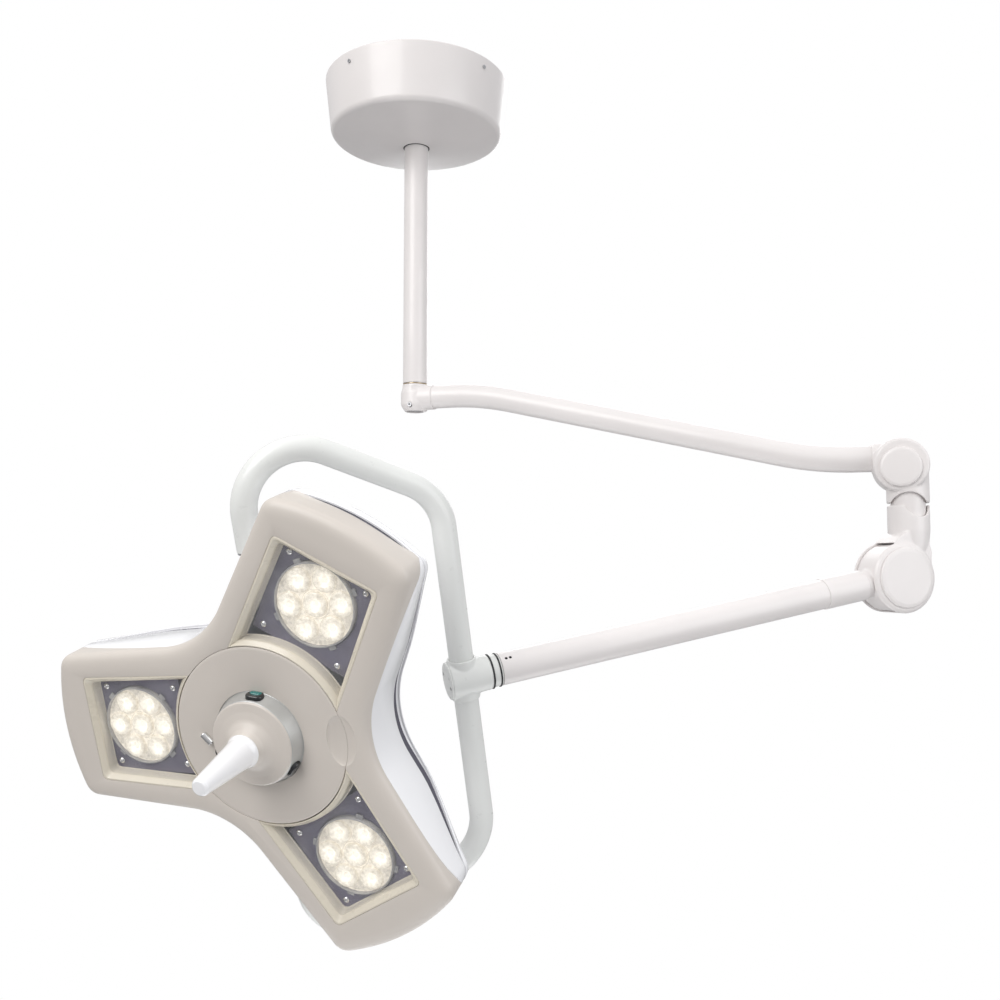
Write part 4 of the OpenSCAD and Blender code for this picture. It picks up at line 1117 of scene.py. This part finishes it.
shank = rod("shank", 4, 32, 50, LOCK, steps=40)
bar = rod("bar", 4.6, -9, 9, LOCK @ shift(0, 0, 50.8) @ ON_X, steps=48, chamfer=1.2)
slot_cut = box("slot", (7.6, -0.9, 44), (12, 0.9, 58), LOCK)
add_piece("plate_lock_bar", cast([shank, bar], [slot_cut], voxel=0.4, smooth=2),
          "lamp_head", CHROME, ["plate_lock"])

# ---- grip

grip_z = MOUNT_Z + 42
GRIP_LEN, ROOT, TIP = 92, 19.5, 11
grip = lathe("grip", [(8.3, 0), (ROOT + 2, 0), (ROOT + 2.8, 2.2), (ROOT + 1.6, 5.5),
                      (ROOT, 9), (TIP + 0.3, GRIP_LEN - 3), (TIP - 2.4, GRIP_LEN),
                      (0, GRIP_LEN), (0, 20), (8.3, 20)],
             HEAD @ shift(0, 0, grip_z), radius=[0.6, 1.5, 4, 6, 3, 2, 0, 0.2])
add_piece("grip_moulding", grip, "grip", WHITE_GLOSS, ["grip"], slot="white_grip")

# ---- carried-over CAD

CARRIED = {
    STEEL: ("ceiling_plate", "mounting_flange", "flange_bolts", "tube_cross_bolt",
            "canopy_screws", "swivel_spindle", "hub_brake_screw", "lift_pin",
            "balance_spring", "spring_rod", "roll_spindle", "trunnions", "pivot_blocks"),
    BRONZE: ("hub_bushes", "hub_thrust_washer", "elbow_bushes", "spring_adjuster"),
    BLACK_STEEL: ("arm_set_screws", "hub_cap_screws"),
    CASE: ("power_supply",),
    TERMINAL: ("terminal_block",),
    BOARD: ("driver_board",),
}
for material, names in CARRIED.items():
    for name in names:
        mesh = frame["nodes"][name].data
        mesh.materials.clear()
        mesh.materials.append(material)
        mesh.polygons.foreach_set("material_index", [0] * len(mesh.polygons))
        mesh.set_sharp_from_angle(angle=math.radians(SMOOTH_ANGLE))

# ---- camera and studio

cam = bpy.data.cameras.new("camera")
cam.lens, cam.sensor_width = 36, 36
cam.clip_end = 50
camera = new_object("camera", cam)
camera.location = (0.159, -1.852, -0.923)
camera.rotation_euler = (math.radians(94), 0, 0)
bpy.context.scene.camera = camera

FLOOR_R, FLOOR_DROP = 1.4, 1.4


def studio_floor():
    """Pale round floor, as far below the lamp as a room's would be."""
    m, nodes, links, shader = new_material("studio_floor_paint")
    tone = noise(nodes, links, 1.5, 2.0)
    pale = ramp(nodes, links, tone.outputs["Fac"], (0.93, 0.93, 0.93), (0.95, 0.95, 0.95))
    links.new(pale.outputs["Color"], shader.inputs["Base Color"])
    links.new(pale.outputs["Color"], shader.inputs["Emission Color"])
    set_inputs(shader, {"Emission Strength": 0.62, "Roughness": 0.9,
                        "Specular IOR Level": 0.1})
    bm = bmesh.new()
    bmesh.ops.create_circle(bm, cap_ends=True, segments=96, radius=FLOOR_R)
    o = new_object("studio_floor", new_mesh("studio_floor", bm))
    o.location = (0, 0, cad_low.z - FLOOR_DROP)
    o.data.materials.append(m)


studio_floor()


def soft_light(name, location, target, size, power, tint=(1, 1, 1)):
    data = bpy.data.lights.new(name, "AREA")
    data.shape = "RECTANGLE"
    data.size, data.size_y = size
    data.energy = power
    data.color = tint
    o = new_object(name, data)
    o.location = location
    aim = Vector(target) - Vector(location)
    o.rotation_euler = aim.to_track_quat("-Z", "Y").to_euler()


middle = (cad_low + cad_high) / 2
soft_light("key_softbox", (-1.6, -2.6, 0.9), middle, (2.2, 2.2), 60, (1.0, 0.99, 0.975))
soft_light("fill_softbox", (2.6, -2.0, -0.6), middle, (2.0, 2.4), 26, (0.97, 0.985, 1.0))
soft_light("back_softbox", (0.6, 2.4, 0.6), middle, (2.4, 1.6), 20)

# Plain white where the camera sees the world; as light it is brighter above than below
world = bpy.data.worlds.new("studio_white")
world.use_nodes = True
nodes, links = world.node_tree.nodes, world.node_tree.links
nodes.clear()
out, mix, ray, fill, seen, where, split, spread, sky = (
    nodes.new("ShaderNode" + kind)
    for kind in ("OutputWorld", "MixShader", "LightPath", "Background", "Background",
                 "TexCoord", "SeparateXYZ", "MapRange", "ValToRGB"))
spread.inputs["From Min"].default_value = -1
sky.color_ramp.elements[0].color = (0.12, 0.12, 0.125, 1)
sky.color_ramp.elements[1].color = (1.0, 1.0, 1.01, 1)
sky.color_ramp.elements.new(0.5).color = (0.50, 0.50, 0.505, 1)
seen.inputs["Color"].default_value = (1, 1, 1, 1)
for source, target in ((where.outputs["Generated"], split.inputs["Vector"]),
                       (split.outputs["Z"], spread.inputs["Value"]),
                       (spread.outputs["Result"], sky.inputs["Fac"]),
                       (sky.outputs["Color"], fill.inputs["Color"]),
                       (ray.outputs["Is Camera Ray"], mix.inputs["Fac"]),
                       (fill.outputs["Background"], mix.inputs[1]),
                       (seen.outputs["Background"], mix.inputs[2]),
                       (mix.outputs["Shader"], out.inputs["Surface"])):
    links.new(source, target)
bpy.context.scene.world = world
bpy.context.scene.view_settings.view_transform = "Standard"
